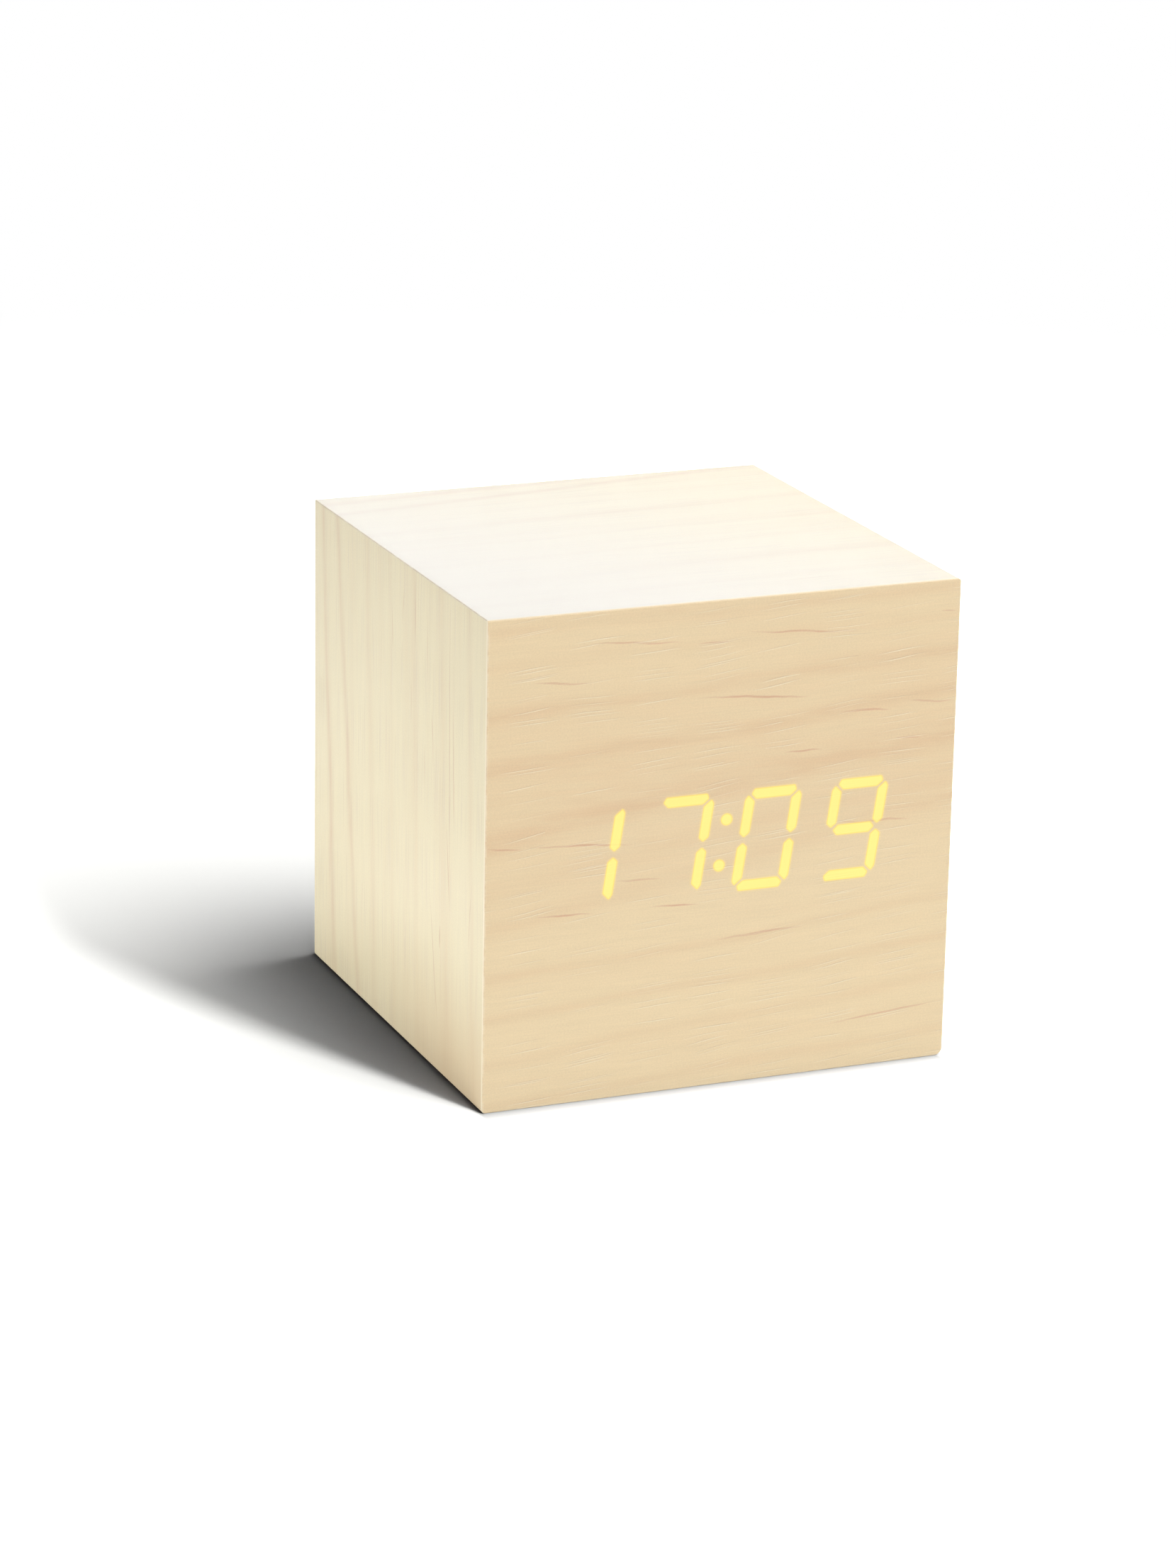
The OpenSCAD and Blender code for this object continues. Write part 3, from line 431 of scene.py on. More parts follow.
def grainLook(finish, along, across, look):
    # bands are bell curves about slanted lines, streaks are ellipses about slanted lines, and clouds,
    # fibres and grit are noise drawn out along the grain; a pore is a dark line, partly its own colour and
    # partly painted shadow, with a painted highlight as a light line under it
    def flow(name):
        alongSize, acrossSize, detail, shift = grainNoise[name]
        spot = finish.join(along / alongSize + shift, across / acrossSize + shift)
        return finish.noise(spot, 1.0, detail, 0.55, flat=True)

    begin, end = look["span"]
    cloud, fibre, grit = flow("cloud"), flow("fibre"), flow("grit")
    waved = across + (flow("wave") - 0.5) * look["wander"]
    broad = flow("soft").step(0.4, 0.8) * look["softBands"]
    for first, last, width, strength in look["bands"]:
        slope = (last - first) / (end - begin)
        off = waved / width + (along * (-slope / width) + (slope * begin - first) / width)
        broad = broad + off.bell() * strength
    broad = broad * (cloud.step(0.3, 0.66) * 0.45 + 0.55) * look["bandShade"]

    thin = None
    fine = across + (flow("fine") - 0.5) * look["streakWander"]
    for x0, z0, x1, z1, thick, strength in look["streaks"]:
        slope = (z1 - z0) / (x1 - x0)
        reach = along * (2 / (x1 - x0)) - (x0 + x1) / (x1 - x0)
        off = fine * (2 / thick) + (along * (-2 * slope / thick) + 2 * (slope * x0 - z0) / thick)
        mark = (1.0 - reach * reach - off * off).most(0.0) * strength
        thin = mark if thin is None else thin.most(mark)
    thin = thin * (fibre.step(0.3, 0.6) * 0.5 + 0.5) * look["streakShade"]

    cellX = along / look["poreLength"]
    cellY = (waved - along * look["poreSlope"]) / look["poreRow"]
    cell = {"Vector": finish.join(cellX, cellY), "Scale": 1.0}
    near = finish.add("TexVoronoi", {"voronoi_dimensions": "2D"}, cell)
    chance, part, _ = finish.split(near.sibling("Color"))
    placeX, placeY, _ = finish.split(near.sibling("Position"))
    reach = (cellX - placeX) * 2.3
    mask = (1.0 - reach * reach).most(0.0) * chance.step(1.0 - look["pores"], 1.03 - look["pores"])
    mask = mask * flow("crowd").step(0.14, 0.46) * (part * 0.6 + 0.4)
    aside = (cellY - placeY) * (look["poreRow"] / look["poreThick"])
    pore = (aside - 0.8).bell() * mask
    lip = (aside + 0.9).bell() * mask

    colour = finish.mix(broad.math("MINIMUM", 1.0), look["pale"], look["tan"])
    colour = finish.mix(thin.math("MINIMUM", 1.0), colour, look["streak"])
    # painted highlight under each pore; the pore's dark line is partly painted shadow
    colour = finish.mix(lip * look["poreHighlightShare"], colour, look["lip"])
    colour = finish.mix(pore * look["poreShade"], colour, look["pore"])
    level = (fibre - 0.5) * look["fibre"] + (cloud - 0.5) * look["cloud"] + (grit - 0.5) * look["grit"] + 1.0
    colour = finish.mix(1.0, colour, finish.join(level, level, level), "MULTIPLY")
    return colour, fibre * 0.2 + grit * 0.12 - pore + lip * 0.3, fibre


def woodEdge(x, z):
    # distance from the nearest side of the square face
    return cube["half"] - abs(x).most(abs(z - cube["middle"]))


# Front sheet with the lit bars let into it

digits = {
    "shown": (1, 7, 0, 9), "height": 14.2, "width": 8.3, "pitch": 12.8, "bar": 1.45, "lean": 8.4,
    "dot": 1.65, "dotSides": 60, "nose": 0.62, "lead": 0.3, "soft": 0.2, "softSteps": 3,
    "cornerGap": 0.12, "middleGap": 0.38, "middle": 34.4,
    # bars that each digit lights: top, upper and lower right, foot, lower and upper left, middle
    "codes": ("1111110", "0110000", "1101101", "1111001", "0110011",
              "1011011", "1011111", "1110000", "1111111", "1111011"),
    "spacing": 0.12,
    "haloRings": (0.07, 0.16, 0.3, 0.55, 1.0),
    "coreRings": (0.1, 0.22, 0.38, 0.55),
    "closeBars": 14.0,  # bars whose middles are nearer than this can touch each other's rings
    "ringRoom": 0.93,
}


def softened(outline, cut, steps):
    # each corner becomes a quadratic curve between two points a cut away from it
    start = outline + unit(np.roll(outline, 1, 0) - outline) * cut
    stop = outline + unit(np.roll(outline, -1, 0) - outline) * cut
    t = np.linspace(0, 1, steps + 1)[None, :, None]
    curve = (1 - t) ** 2 * start[:, None] + 2 * t * (1 - t) * outline[:, None] + t * t * stop[:, None]
    return curve.reshape(-1, 2)


def barOutlines(d):
    # seven straight bars about each digit's middle, then leaned and moved to their places in x and z
    column, row, half = (d["width"] - d["bar"]) / 2, (d["height"] - d["bar"]) / 2, d["bar"] / 2
    nose, lead = d["nose"], d["lead"]

    def levelBar(tip, extra):
        inner, outer = tip - nose - extra / 2, tip - nose + extra
        return np.array([[-tip, 0], [-inner, -half], [inner, -half], [tip, 0], [outer, half], [-outer, half]])

    low, high = d["middleGap"], row - d["cornerGap"]
    left, right = column - half, column + half
    upright = np.array([[column, low], [right, low + nose], [right, high - nose], [column + lead, high],
                        [left, high - nose - lead], [left, low + nose]])
    top = levelBar(column - d["cornerGap"], lead) + [0, row]
    bars = [top, upright, upright * [1, -1], top * [1, -1], upright * [-1, -1], upright * [-1, 1],
            levelBar(column - d["middleGap"], 0)]
    lean = np.array([[1, 0], [math.tan(math.radians(d["lean"])), 1]])
    outlines = []
    for i, shown in enumerate(d["shown"]):
        place = [(i - 1.5) * d["pitch"], d["middle"]]
        outlines += [softened(bar, d["soft"], d["softSteps"]) @ lean + place
                     for code, bar in zip(d["codes"][shown], bars) if code == "1"]
    dot = circle(d["dot"] / 2, d["dotSides"])
    for side in (-1, 1):
        outlines.append(dot + np.array([0, side * row / 2]) @ lean + [0, d["middle"]])
    return [turnedLeft(resampled(outline, d["spacing"])) for outline in outlines]


def nearest(points, rings):
    # distance from each point to the closest ring point
    gaps = [np.linalg.norm(points[:, None] - ring, axis=2).min(axis=1) for ring in rings]
    return np.min(gaps, axis=0)


def ringsAbout(outlines, distances, side, d):
    # copies of the outlines, moved out or in along their normals, kept where no other outline is closer
    made = []
    for ring in outlines:
        along = np.roll(ring, -1, 0) - np.roll(ring, 1, 0)
        out = unit(sideBySide(along[:, 1], -along[:, 0]))
        close = [other for other in outlines if np.linalg.norm(other.mean(0) - ring.mean(0)) < d["closeBars"]]
        for distance in distances:
            moved = ring[::2] + side * distance * out[::2]
            made.append(moved[nearest(moved, close) > distance * d["ringRoom"]])
    return np.concatenate(made)


front = {"face": -34.0, "back": -33.5, "edge": 0.14}
frontLook = {
    "span": (-34.0, 34.0),  # along the grain, from the left edge to the right
    "wander": 2.4, "streakWander": 0.7, "softBands": 0.22, "bandShade": 0.63, "streakShade": 0.8,
    "pale": tint(235, 213, 173), "tan": tint(222, 190, 151), "streak": tint(208, 156, 127),
    "pore": tint(178, 142, 108), "lip": tint(250, 240, 214),
    "wornEdge": tint(247, 235, 206), "cutEdge": tint(241, 228, 198),
    # place at the left end, place at the right end, width, strength
    "bands": (
        (66.0, 67.2, 1.0, 0.55), (61.0, 63.0, 0.8, 0.25), (54.8, 58.5, 1.0, 0.6), (47.0, 53.0, 1.2, 0.7),
        (38.0, 46.5, 1.8, 0.8), (30.5, 41.0, 2.2, 0.45), (25.5, 37.5, 1.5, 0.5), (18.8, 23.0, 0.7, 0.5),
        (12.8, 17.5, 0.8, 0.55), (6.8, 11.8, 0.8, 0.45), (1.0, 4.0, 0.8, 0.45), (46.0, 50.0, 15.0, 0.45),
    ),
    # first end, last end, thickness, strength
    "streaks": (
        (-19.8, 63.8, -6.0, 62.7, 0.36, 0.8), (-4.5, 62.4, 1.0, 62.2, 0.32, 0.55),
        (2.5, 63.4, 19.5, 62.0, 0.38, 0.9), (31.0, 63.8, 33.6, 63.6, 0.3, 0.6),
        (-28.0, 59.0, -19.0, 58.3, 0.36, 0.7), (-4.6, 54.9, 12.6, 53.6, 0.42, 1.0),
        (16.5, 51.0, 24.5, 50.7, 0.38, 0.8), (26.5, 51.6, 33.8, 51.1, 0.34, 0.7),
        (8.4, 46.1, 14.6, 46.0, 0.34, 0.8), (25.0, 46.5, 29.0, 46.3, 0.34, 0.8),
        (-34.0, 36.9, -28.5, 36.4, 0.36, 0.8), (-28.3, 36.8, -12.5, 35.5, 0.38, 0.9),
        (16.5, 35.4, 28.0, 35.0, 0.34, 0.9), (-15.5, 30.6, -8.5, 30.3, 0.3, 0.7),
        (-27.0, 26.9, -18.4, 26.4, 0.36, 1.0), (-10.5, 26.5, -3.0, 26.1, 0.36, 0.9),
        (-1.0, 20.6, 12.5, 21.4, 0.42, 0.8), (16.0, 6.6, 33.6, 8.1, 0.36, 0.8),
    ),
    "pores": 0.2, "poreSlope": 0.085, "poreLength": 9.0, "poreRow": 0.3, "poreThick": 0.05,
    "poreShade": 0.3, "poreHighlightShare": 0.7,
    "fibre": 0.08, "cloud": 0.07, "grit": 0.13, "relief": 0.022,
}
light = {
    "core": (0.70, 0.54, 0.16, 1.0), "rim": (0.76, 0.53, 0.12, 1.0), "rimWidth": 0.2,
    "coreGlow": (0.34, 0.365, 0.113, 1.0), "rimGlow": (0.29, 0.27, 0.07, 1.0),
    "grain": (1.2, 1.45, 2.0, 1.0), "grainShare": 0.35, "rough": 0.45, "relief": 0.008,
    "halo": tint(248, 222, 120), "haloGlow": (0.16, 0.12, 0.0, 1.0),
    "haloReach": 0.1, "haloStrength": 0.55,
}


def barReach(finish):
    # distance from the outline of the nearest lit bar, negative inside it
    return finish.add("Attribute", {"attribute_name": "reach"}, out="Fac")


def frontFinish(look):
    finish = Finish("frontVeneer", {"Emission Strength": 1.0})
    spot = finish.spot()
    x, y, z = finish.split(spot)
    colour, height, fibre = grainLook(finish, x, z, look)
    worn = finish.noise(spot, 0.9, 3.0).step(0.35, 0.6)
    edge = woodEdge(x, z).step(0.3, 0.1) * worn * z.step(67.2, 66.2)  # not along the top
    colour = finish.mix(edge * 0.4, colour, look["wornEdge"])
    colour = finish.mix(y.step(front["face"] + 0.1, front["face"] + 0.16), colour, look["cutEdge"])
    halo = (barReach(finish) / light["haloReach"]).fall() * light["haloStrength"]
    colour = finish.mix(halo, colour, light["halo"])
    finish.wear({"Emission Color": finish.mix(halo, (0, 0, 0, 1), light["haloGlow"])})
    return finish.surface(colour, fibre * 0.16 + 0.36, height, look["relief"])


def litFinish(look):
    finish = Finish("litVeneer", {"Emission Strength": 1.0})
    x, _, z = finish.split(finish.spot())
    colour, height, _ = grainLook(finish, x, z, look)
    core = (-barReach(finish)).step(0.0, light["rimWidth"])
    lamp = finish.mix(core, light["rim"], light["core"])
    grain = finish.mix(1.0, colour, light["grain"], "MULTIPLY")
    colour = finish.mix(light["grainShare"], lamp, finish.mix(1.0, lamp, grain, "MULTIPLY"))
    finish.wear({"Emission Color": finish.mix(core, light["rimGlow"], light["coreGlow"])})
    return finish.surface(colour, light["rough"], height, light["relief"])


def makeFront(f, d):
    # the face is triangulated between its outline, the bars and rings of points round them
    bars = barOutlines(d)

    def rim(inset):
        return cubeOutline(inset)[::-1]

    outer = rim(f["edge"])
    halo = ringsAbout(bars, d["haloRings"], 1, d)
    core = ringsAbout(bars, d["coreRings"], -1, d)
    rings = [outer] + bars
    starts = np.cumsum([0] + [len(ring) for ring in rings])
    loops = [list(range(a, b)) for a, b in zip(starts[:-1], starts[1:])]
    points = np.concatenate(rings + [halo, core])
    reach = np.concatenate([nearest(outer, bars), np.zeros(starts[-1] - starts[1]), nearest(halo, bars),
                            -nearest(core, bars)])
    _, _, triangles, fromPoint, _, fromLoop = delaunay_2d_cdt(points.tolist(), [], loops, 0, 1e-7, True)
    order = np.array([ids[0] for ids in fromPoint])
    triangles = order[np.array(triangles)]
    owner = np.array([max(ids, default=0) for ids in fromLoop])
    count, size = len(points), len(outer)

    def solid(name, chosen, outward, edgeRings, *wear):
        # front and back triangles with walls along the bars; the edge rings round off the outer edge
        frontPoints = atDepth(points, f["face"])
        backPoints = atDepth(points, f["back"])
        faces = chosen.tolist() + (chosen[:, ::-1] + count).tolist()
        for loop in loops[1:]:
            a, b = np.array(loop), np.roll(loop, -1)
            if outward:
                a, b = b, a
            faces += sideBySide(a, b, b + count, a + count).tolist()
        if edgeRings:
            backPoints[:size, 0::2] = rim(0)
            a, b = np.arange(size), np.roll(np.arange(size), -1)
            levels = [0] + [2 * count + k * size for k in range(len(edgeRings))] + [count]
            for near, far in zip(levels[:-1], levels[1:]):
                faces += sideBySide(b + near, a + near, a + far, b + far).tolist()
        allPoints = np.concatenate([frontPoints, backPoints] + edgeRings)
        used = np.unique(np.concatenate([np.ravel(face) for face in faces]))
        renumber = np.zeros(len(allPoints), int)
        renumber[used] = np.arange(len(used))
        faces = [renumber[face].tolist() for face in faces]
        piece = makePiece(name, (allPoints[used], faces), *wear)
        piece.data.polygons.foreach_set("use_smooth", np.arange(len(faces)) >= 2 * len(chosen))
        glowReach = np.concatenate([reach, reach, np.full(len(allPoints) - 2 * count, 2.0)])[used]
        layer = piece.data.attributes.new("reach", "FLOAT", "POINT")
        layer.data.foreach_set("value", np.clip(glowReach, -1, 2).astype(np.float32))
        piece.visible_diffuse = False  # no brown light on the floor

    turns = np.linspace(0, math.pi / 2, cube["edgeSteps"] + 1)[1:]
    insets = f["edge"] * (1 - np.sin(turns))
    depths = f["face"] + f["edge"] * (1 - np.cos(turns))
    edgeRings = [atDepth(rim(inset), depth) for inset, depth in zip(insets, depths)]
    solid("front_sheet", triangles[owner == 0], False, edgeRings,
          frontFinish(frontLook), "veneer", "case", "front_veneer")
    solid("lit_bars", triangles[owner > 0], True, [],
          litFinish(frontLook), "lit_veneer", "case", "lit_segments")
    print("front made:", len(bars), "lit bars,", len(triangles), "triangles")


makeFront(front, digits)

# Wrap of paler veneer round the top, the sides and the underside

wrap = {"front": -33.5, "rear": 34.0, "thick": 0.5, "rearEdge": 0.18}
wrapLook = {
    "span": (-68.0, 0.0),  # along the left side, from its foot to its top
    "wander": 1.6, "streakWander": 0.5, "softBands": 0.32, "bandShade": 0.9, "streakShade": 0.9,
    "pale": tint(231, 219, 184), "tan": tint(219, 198, 163), "streak": tint(196, 160, 122),
    "pore": tint(184, 152, 116), "lip": tint(244, 238, 218),
    "topWhite": tint(240, 237, 231), "footShadeTan": tint(219, 194, 156),
    "bands": (
        (25.0, 30.5, 0.9, 0.9), (15.0, 24.5, 0.9, 0.9), (8.0, 12.0, 1.2, 0.45), (1.0, 3.0, 0.9, 0.3),
        (-9.0, -6.5, 0.9, 0.35), (-20.0, -17.0, 1.6, 0.45), (-30.5, -27.0, 1.0, 0.4),
    ),
    "streaks": (
        (-45.0, -21.0, 0.0, -20.0, 0.34, 0.7), (-11.5, -7.2, 0.0, -7.0, 0.34, 0.8),
        (-33.0, -22.5, -14.5, -21.6, 0.38, 0.9), (-44.0, -20.9, -31.0, -19.6, 0.34, 0.7),
        (-14.0, 1.6, -6.5, 2.0, 0.3, 0.6), (-26.0, -14.4, -16.5, -13.8, 0.3, 0.6),
        (-30.0, -11.2, -23.0, -10.8, 0.28, 0.5), (-63.0, -17.0, -43.0, -13.5, 0.34, 0.7),
        (-50.5, -17.4, -46.5, -17.4, 0.36, 0.9), (-15.0, -11.9, -3.0, -11.8, 0.26, 0.5),
        (-19.5, -17.4, -6.5, -17.3, 0.26, 0.5), (-22.0, -5.8, -15.0, -5.5, 0.28, 0.5),
        (-9.0, -2.0, -3.0, -2.8, 0.26, 0.4), (-48.0, -28.0, -37.0, -29.2, 0.3, 0.5),
        (44.0, -27.4, 54.0, -27.0, 0.3, 0.6), (80.0, -10.0, 120.0, -8.0, 0.36, 0.7),
        (75.0, 12.0, 110.0, 14.0, 0.36, 0.7), (84.0, 22.0, 132.0, 19.0, 0.36, 0.6),
    ),
    "pores": 0.3, "poreSlope": 0.0, "poreLength": 13.0, "poreRow": 0.26, "poreThick": 0.055,
    "poreShade": 0.45, "poreHighlightShare": 0.4,
    "fibre": 0.085, "cloud": 0.05, "grit": 0.11, "relief": 0.018,
}


def wrapFinish(look):
    # the run is zero at the upper left fold and grows over the top; depth goes from front to rear
    finish = Finish("wrapVeneer")
    run, depth, _ = finish.split(finish.add("UVMap", {"uv_map": "grain"}))
    colour, height, fibre = grainLook(finish, run, depth, look)
    # painted sheen: the top is painted whiter, most towards the front left
    top = run.step(-0.3, 0.3) * run.step(68.3, 67.7)
    paintedSheen = (run + depth * 0.8).step(92.0, -18.0) * 0.66 + 0.12
    colour = finish.mix(top * paintedSheen, colour, look["topWhite"])
    # painted shade: the left side is darker and warmer towards its foot at the front, where the floor's
    # shadow lies
    foot = run.step(-48.0, -70.0) * run.step(-100.0, -69.0) * (depth.step(12.0, -24.0) * 0.75)
    colour = finish.mix(foot, colour, look["footShadeTan"])
    fold = abs(run).step(0.12, 0.04) * finish.noise(finish.spot(), 0.5, 3.0).step(0.3, 0.6)
    colour = finish.mix(fold * 0.3, colour, look["streak"])
    return finish.surface(colour, fibre * 0.14 + 0.4, height, look["relief"])


def makeWrap(w):
    # the cube's outline carried from front to rear and back inside; the second parameter follows the
    # sheet's section, with a round rear edge
    turn = np.linspace(0, math.pi / 2, cube["edgeSteps"] + 1)
    inset = np.concatenate([[0], w["rearEdge"] * (1 - np.cos(turn)), [w["thick"], w["thick"]]])
    outside = w["rear"] - w["rearEdge"] * (1 - np.sin(turn))
    depth = np.concatenate([[w["front"]], outside, [w["rear"], w["front"]]])
    points = np.stack([atDepth(cubeOutline(i), y) for i, y in zip(inset, depth)])
    rows, sides = points.shape[:2]
    faces = gridFaces(rows, sides, closeRows=True, closeColumns=True).tolist()
    piece = makePiece("wrap", (points, faces), wrapFinish(wrapLook), "veneer", "case", "case_veneer")

    _, run = runAlong(points[0, :, 0::2])
    steps = cube["cornerSteps"]
    run -= run[2 * (steps + 1) + steps // 2]  # zero at the upper left fold
    over = depth + inset
    i, j = np.ogrid[:rows, :sides]
    nextI = (i + 1) % rows
    uv = sideBySide(run[j], over[i], run[j + 1], over[i], run[j + 1], over[nextI], run[j], over[nextI])
    piece.data.uv_layers.new(name="grain").data.foreach_set("uv", uv.astype(np.float32).ravel())
    piece.visible_diffuse = False  # no brown light on the floor
    print("wrap made:", rows, "by", sides, "points")


makeWrap(wrap)

# Finishes of the moulded, metal and wooden parts

def mouldedFinish(name, look):
    # dyed plastic: faint mottling, and a spark-eroded skin where it has one
    finish = Finish(name, {"Coat Weight": look.get("coat", 0.0), "Coat Roughness": 0.15})
    spot = finish.spot()
    cloud = finish.noise(spot, 0.35, 3.0)
    skin = finish.noise(spot, 1 / look.get("skinSize", 0.22), 3.0, 0.6)
    darker, lighter = (np.multiply(look["colour"], (s, s, s, 1)).tolist() for s in (0.8, 1.25))
    colour = finish.mix(cloud.step(0.3, 0.7) * 0.5 + skin.step(0.4, 0.75) * 0.5, darker, lighter)
    return finish.surface(colour, skin * 0.2 + (look["rough"] - 0.1), skin, look.get("skinDepth", 0.01))


def metalFinish(name, look):
    # plated sheet: fine rolling lines and a few duller spots
    finish = Finish(name, {"Metallic": 1.0})
    spot = finish.spot()
    x, y, z = finish.split(spot)
    lines = finish.noise(finish.join(x * 0.4, y * 9.0, z * 9.0), 1.0, 3.0)
    dull = finish.noise(spot, 0.8, 3.0).step(0.5, 0.75)
    colour = finish.mix(dull * 0.5, look["colour"], look["dull"])
    return finish.surface(colour, lines * 0.12 + dull * 0.15 + look["rough"], lines, 0.004)


def boardFinish(name, look):
    # pressed wood fibres: an even tan with fine mottling, sparse short flecks and denser, darker skins
    finish = Finish(name)
    spot = finish.spot()
    x, y, z = finish.split(spot)
    mottle = finish.noise(spot, 2.2, 5.0, 0.7)
    dust = finish.noise(spot, 8.0, 2.0)

    def flecks(wide, tall, shift):
        # short dashes, level or upright
        drawn = finish.join(x * wide + shift, y * 1.5, z * tall + shift)
        return finish.noise(drawn, 1.0, 1.0).step(0.64, 0.74)

    dark = flecks(0.8, 4.0, 0.0).most(flecks(4.0, 0.8, 5.3))
    pale = flecks(1.0, 4.4, 9.7).most(flecks(4.4, 1.0, 13.1))
    inset = woodEdge(x, z)
    skin = inset.step(1.5, 0.6).most(inset.step(4.1, 4.9))
    colour = finish.mix(mottle.step(0.3, 0.7), look["dark"], look["pale"])
    colour = finish.mix(skin * 0.45, colour, look["dark"])
    colour = finish.mix(dark * 0.55, colour, look["fleck"])
    colour = finish.mix(pale * 0.45, colour, look["fibre"])
    return finish.surface(colour, dust * 0.2 + 0.72, mottle + dust * 0.6 - dark * 0.4 + pale * 0.3, 0.05)


def screwFinish(name, look):
    # plated head with lines turned about its middle, with painted shade making it dark and dull down in the
    # cross recess
    finish = Finish(name, {"Metallic": 1.0})
    x, y, z = finish.split(finish.spot())
    low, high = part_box("cover_screws")
    aside = abs(x) - (high.x / mm - look["headRadius"])
    above = z - (low.z + high.z) / 2 / mm
    away = (aside * aside + above * above).math("SQRT")
    lines = finish.noise(finish.join(away * 7.0, aside * 0.3), 1.0, 3.0)
    # painted shade down in the cross recess
    paintedRecessShade = y.step(look["face"] - 0.04, look["face"] - 0.35)
    colour = finish.mix(paintedRecessShade, look["colour"], look["recess"])
    return finish.surface(colour, lines * 0.16 + paintedRecessShade * 0.3 + look["rough"], lines, 0.008)


def circuitFinish(name, look):
    # green lacquer over copper tracks that run level and upright in blocks
    finish = Finish(name, {"Coat Weight": 0.4, "Coat Roughness": 0.2})
    spot = finish.spot()
    x, _, z = finish.split(spot)
    block = {"Vector": finish.join(x * 0.16, z * 0.2), "Scale": 1.0}
    square = {"voronoi_dimensions": "2D", "distance": "CHEBYCHEV"}
    level, _, _ = finish.split(finish.add("TexVoronoi", square, block, out="Color"))
    pick = level.math("GREATER_THAN", 0.5)
    track = ((x * pick + z * (1.0 - pick)) * 5.2).math("SINE").step(0.25, 0.5)
    colour = finish.mix(track * 0.7, look["colour"], look["track"])
    return finish.surface(colour, finish.noise(spot, 1.5) * 0.2 + 0.3, track, 0.03)


def stripedFinish(name, look):
    # sleeve with a stripe pattern along one direction, such as wire markings or a ribbon's strands
    finish = Finish(name, {"Coat Weight": look.get("coat", 0.0)})
    spot = finish.spot()
    place = finish.split(spot)[look["axis"]]
    stripe = (place * (2 * math.pi / look["pitch"])).math("SINE").step(look["from"], look["from"] + 0.3)
    wear = finish.noise(spot, 1.2, 3.0)
    colour = finish.mix(stripe, look["colour"], look["stripe"])
    colour = finish.mix(wear.step(0.55, 0.8) * 0.2, colour, look["stripe"])
    return finish.surface(colour, wear * 0.2 + look["rough"], wear, 0.01)


def plankFinish(name, look):
    # softwood with its growth lines along y
    finish = Finish(name)
    x, y, z = finish.split(finish.spot())
    ring = finish.noise(finish.join(x * 0.9, y * 0.05, z * 0.5), 1.0, 3.0)
    line = (ring * 40.0).math("SINE").step(-0.4, 0.9)
    colour = finish.mix(line * 0.7, look["pale"], look["dark"])
    return finish.surface(colour, ring * 0.2 + 0.6, line, 0.03)


wireStripe = {"axis": 2, "pitch": 30.0, "from": 0.97, "rough": 0.35}
slotLooks = {
    boardFinish: {
        "fibreboard": {"dark": tint(168, 133, 96), "pale": tint(196, 161, 121), "fleck": tint(124, 92, 62),
                       "fibre": tint(221, 194, 156)},
    },
    plankFinish: {
        "pine": {"pale": tint(226, 198, 150), "dark": tint(196, 150, 96)},
    },
    circuitFinish: {
        "circuit_board": {"colour": (0.012, 0.09, 0.03, 1), "track": (0.03, 0.2, 0.07, 1)},
    },
    metalFinish: {
        "screw_steel": {"colour": (0.62, 0.61, 0.58, 1), "dull": (0.42, 0.40, 0.36, 1), "rough": 0.22},
        "bright_metal": {"colour": (0.78, 0.76, 0.72, 1), "dull": (0.6, 0.58, 0.54, 1), "rough": 0.16},
    },
    mouldedFinish: {
        "white_plastic": {"colour": (0.78, 0.78, 0.76, 1), "rough": 0.4},
        "clear_fill": {"called": "milkyResin", "colour": (0.8, 0.76, 0.62, 1), "rough": 0.25, "coat": 0.5},
        "light_chip": {"called": "lensResin", "colour": (0.78, 0.6, 0.12, 1), "rough": 0.2, "coat": 0.6},
        "black_plastic": {"colour": (0.022, 0.022, 0.023, 1), "rough": 0.42},
        "cream_plastic": {"colour": (0.72, 0.66, 0.5, 1), "rough": 0.4},
        "button_plastic": {"colour": (0.085, 0.085, 0.088, 1), "rough": 0.45, "skinSize": 0.12,
                           "skinDepth": 0.008},
        "cover_plastic": {"colour": (0.024, 0.024, 0.026, 1), "rough": 0.55, "skinSize": 0.16,
                          "skinDepth": 0.03},
    },
    stripedFinish: {
        "ribbon_grey": {"colour": (0.42, 0.42, 0.44, 1), "stripe": (0.3, 0.3, 0.32, 1), "axis": 0,
                        "pitch": 1.0, "from": 0.3, "rough": 0.4},
        "capacitor_sleeve": {"colour": (0.012, 0.016, 0.05, 1), "stripe": (0.4, 0.42, 0.5, 1), "axis": 2,
                             "pitch": 14.0, "from": 0.75, "rough": 0.25, "coat": 0.3},
        "red_wire": {"colour": (0.45, 0.02, 0.015, 1), "stripe": (0.55, 0.05, 0.04, 1), **wireStripe},
        "black_wire": {"colour": (0.02, 0.02, 0.02, 1), "stripe": (0.04, 0.04, 0.04, 1), **wireStripe},
    },
}
coverScrew = {"colour": (0.34, 0.34, 0.33, 1), "recess": (0.03, 0.03, 0.03, 1), "rough": 0.3, "face": 32.0,
              "headRadius": 2.2}


def camelName(slot):
    # name of a slot's material
    first, *rest = slot.split("_")
    return first + "".join(word.title() for word in rest)


def dress(node, finish):
    materials = frame["nodes"][node].data.materials
    materials.clear()
    materials.append(finish.material)


finishes = {slot: make(look.get("called", camelName(slot)), look)
            for make, looks in slotLooks.items() for slot, look in looks.items()}
for row in frame["record"]["subparts"]:
    if row["material_slot"] in finishes:
        dress(row["node"], finishes[row["material_slot"]])
dress("cover_screws", screwFinish("coverScrew", coverScrew))
for side in ("top", "bottom", "left", "right"):
    frame["nodes"][side + "_panel"].visible_diffuse = False  # no brown light on the floor through the wrap
print("finishes made:", len(finishes) + 1)

# Turned, swept and softened pieces

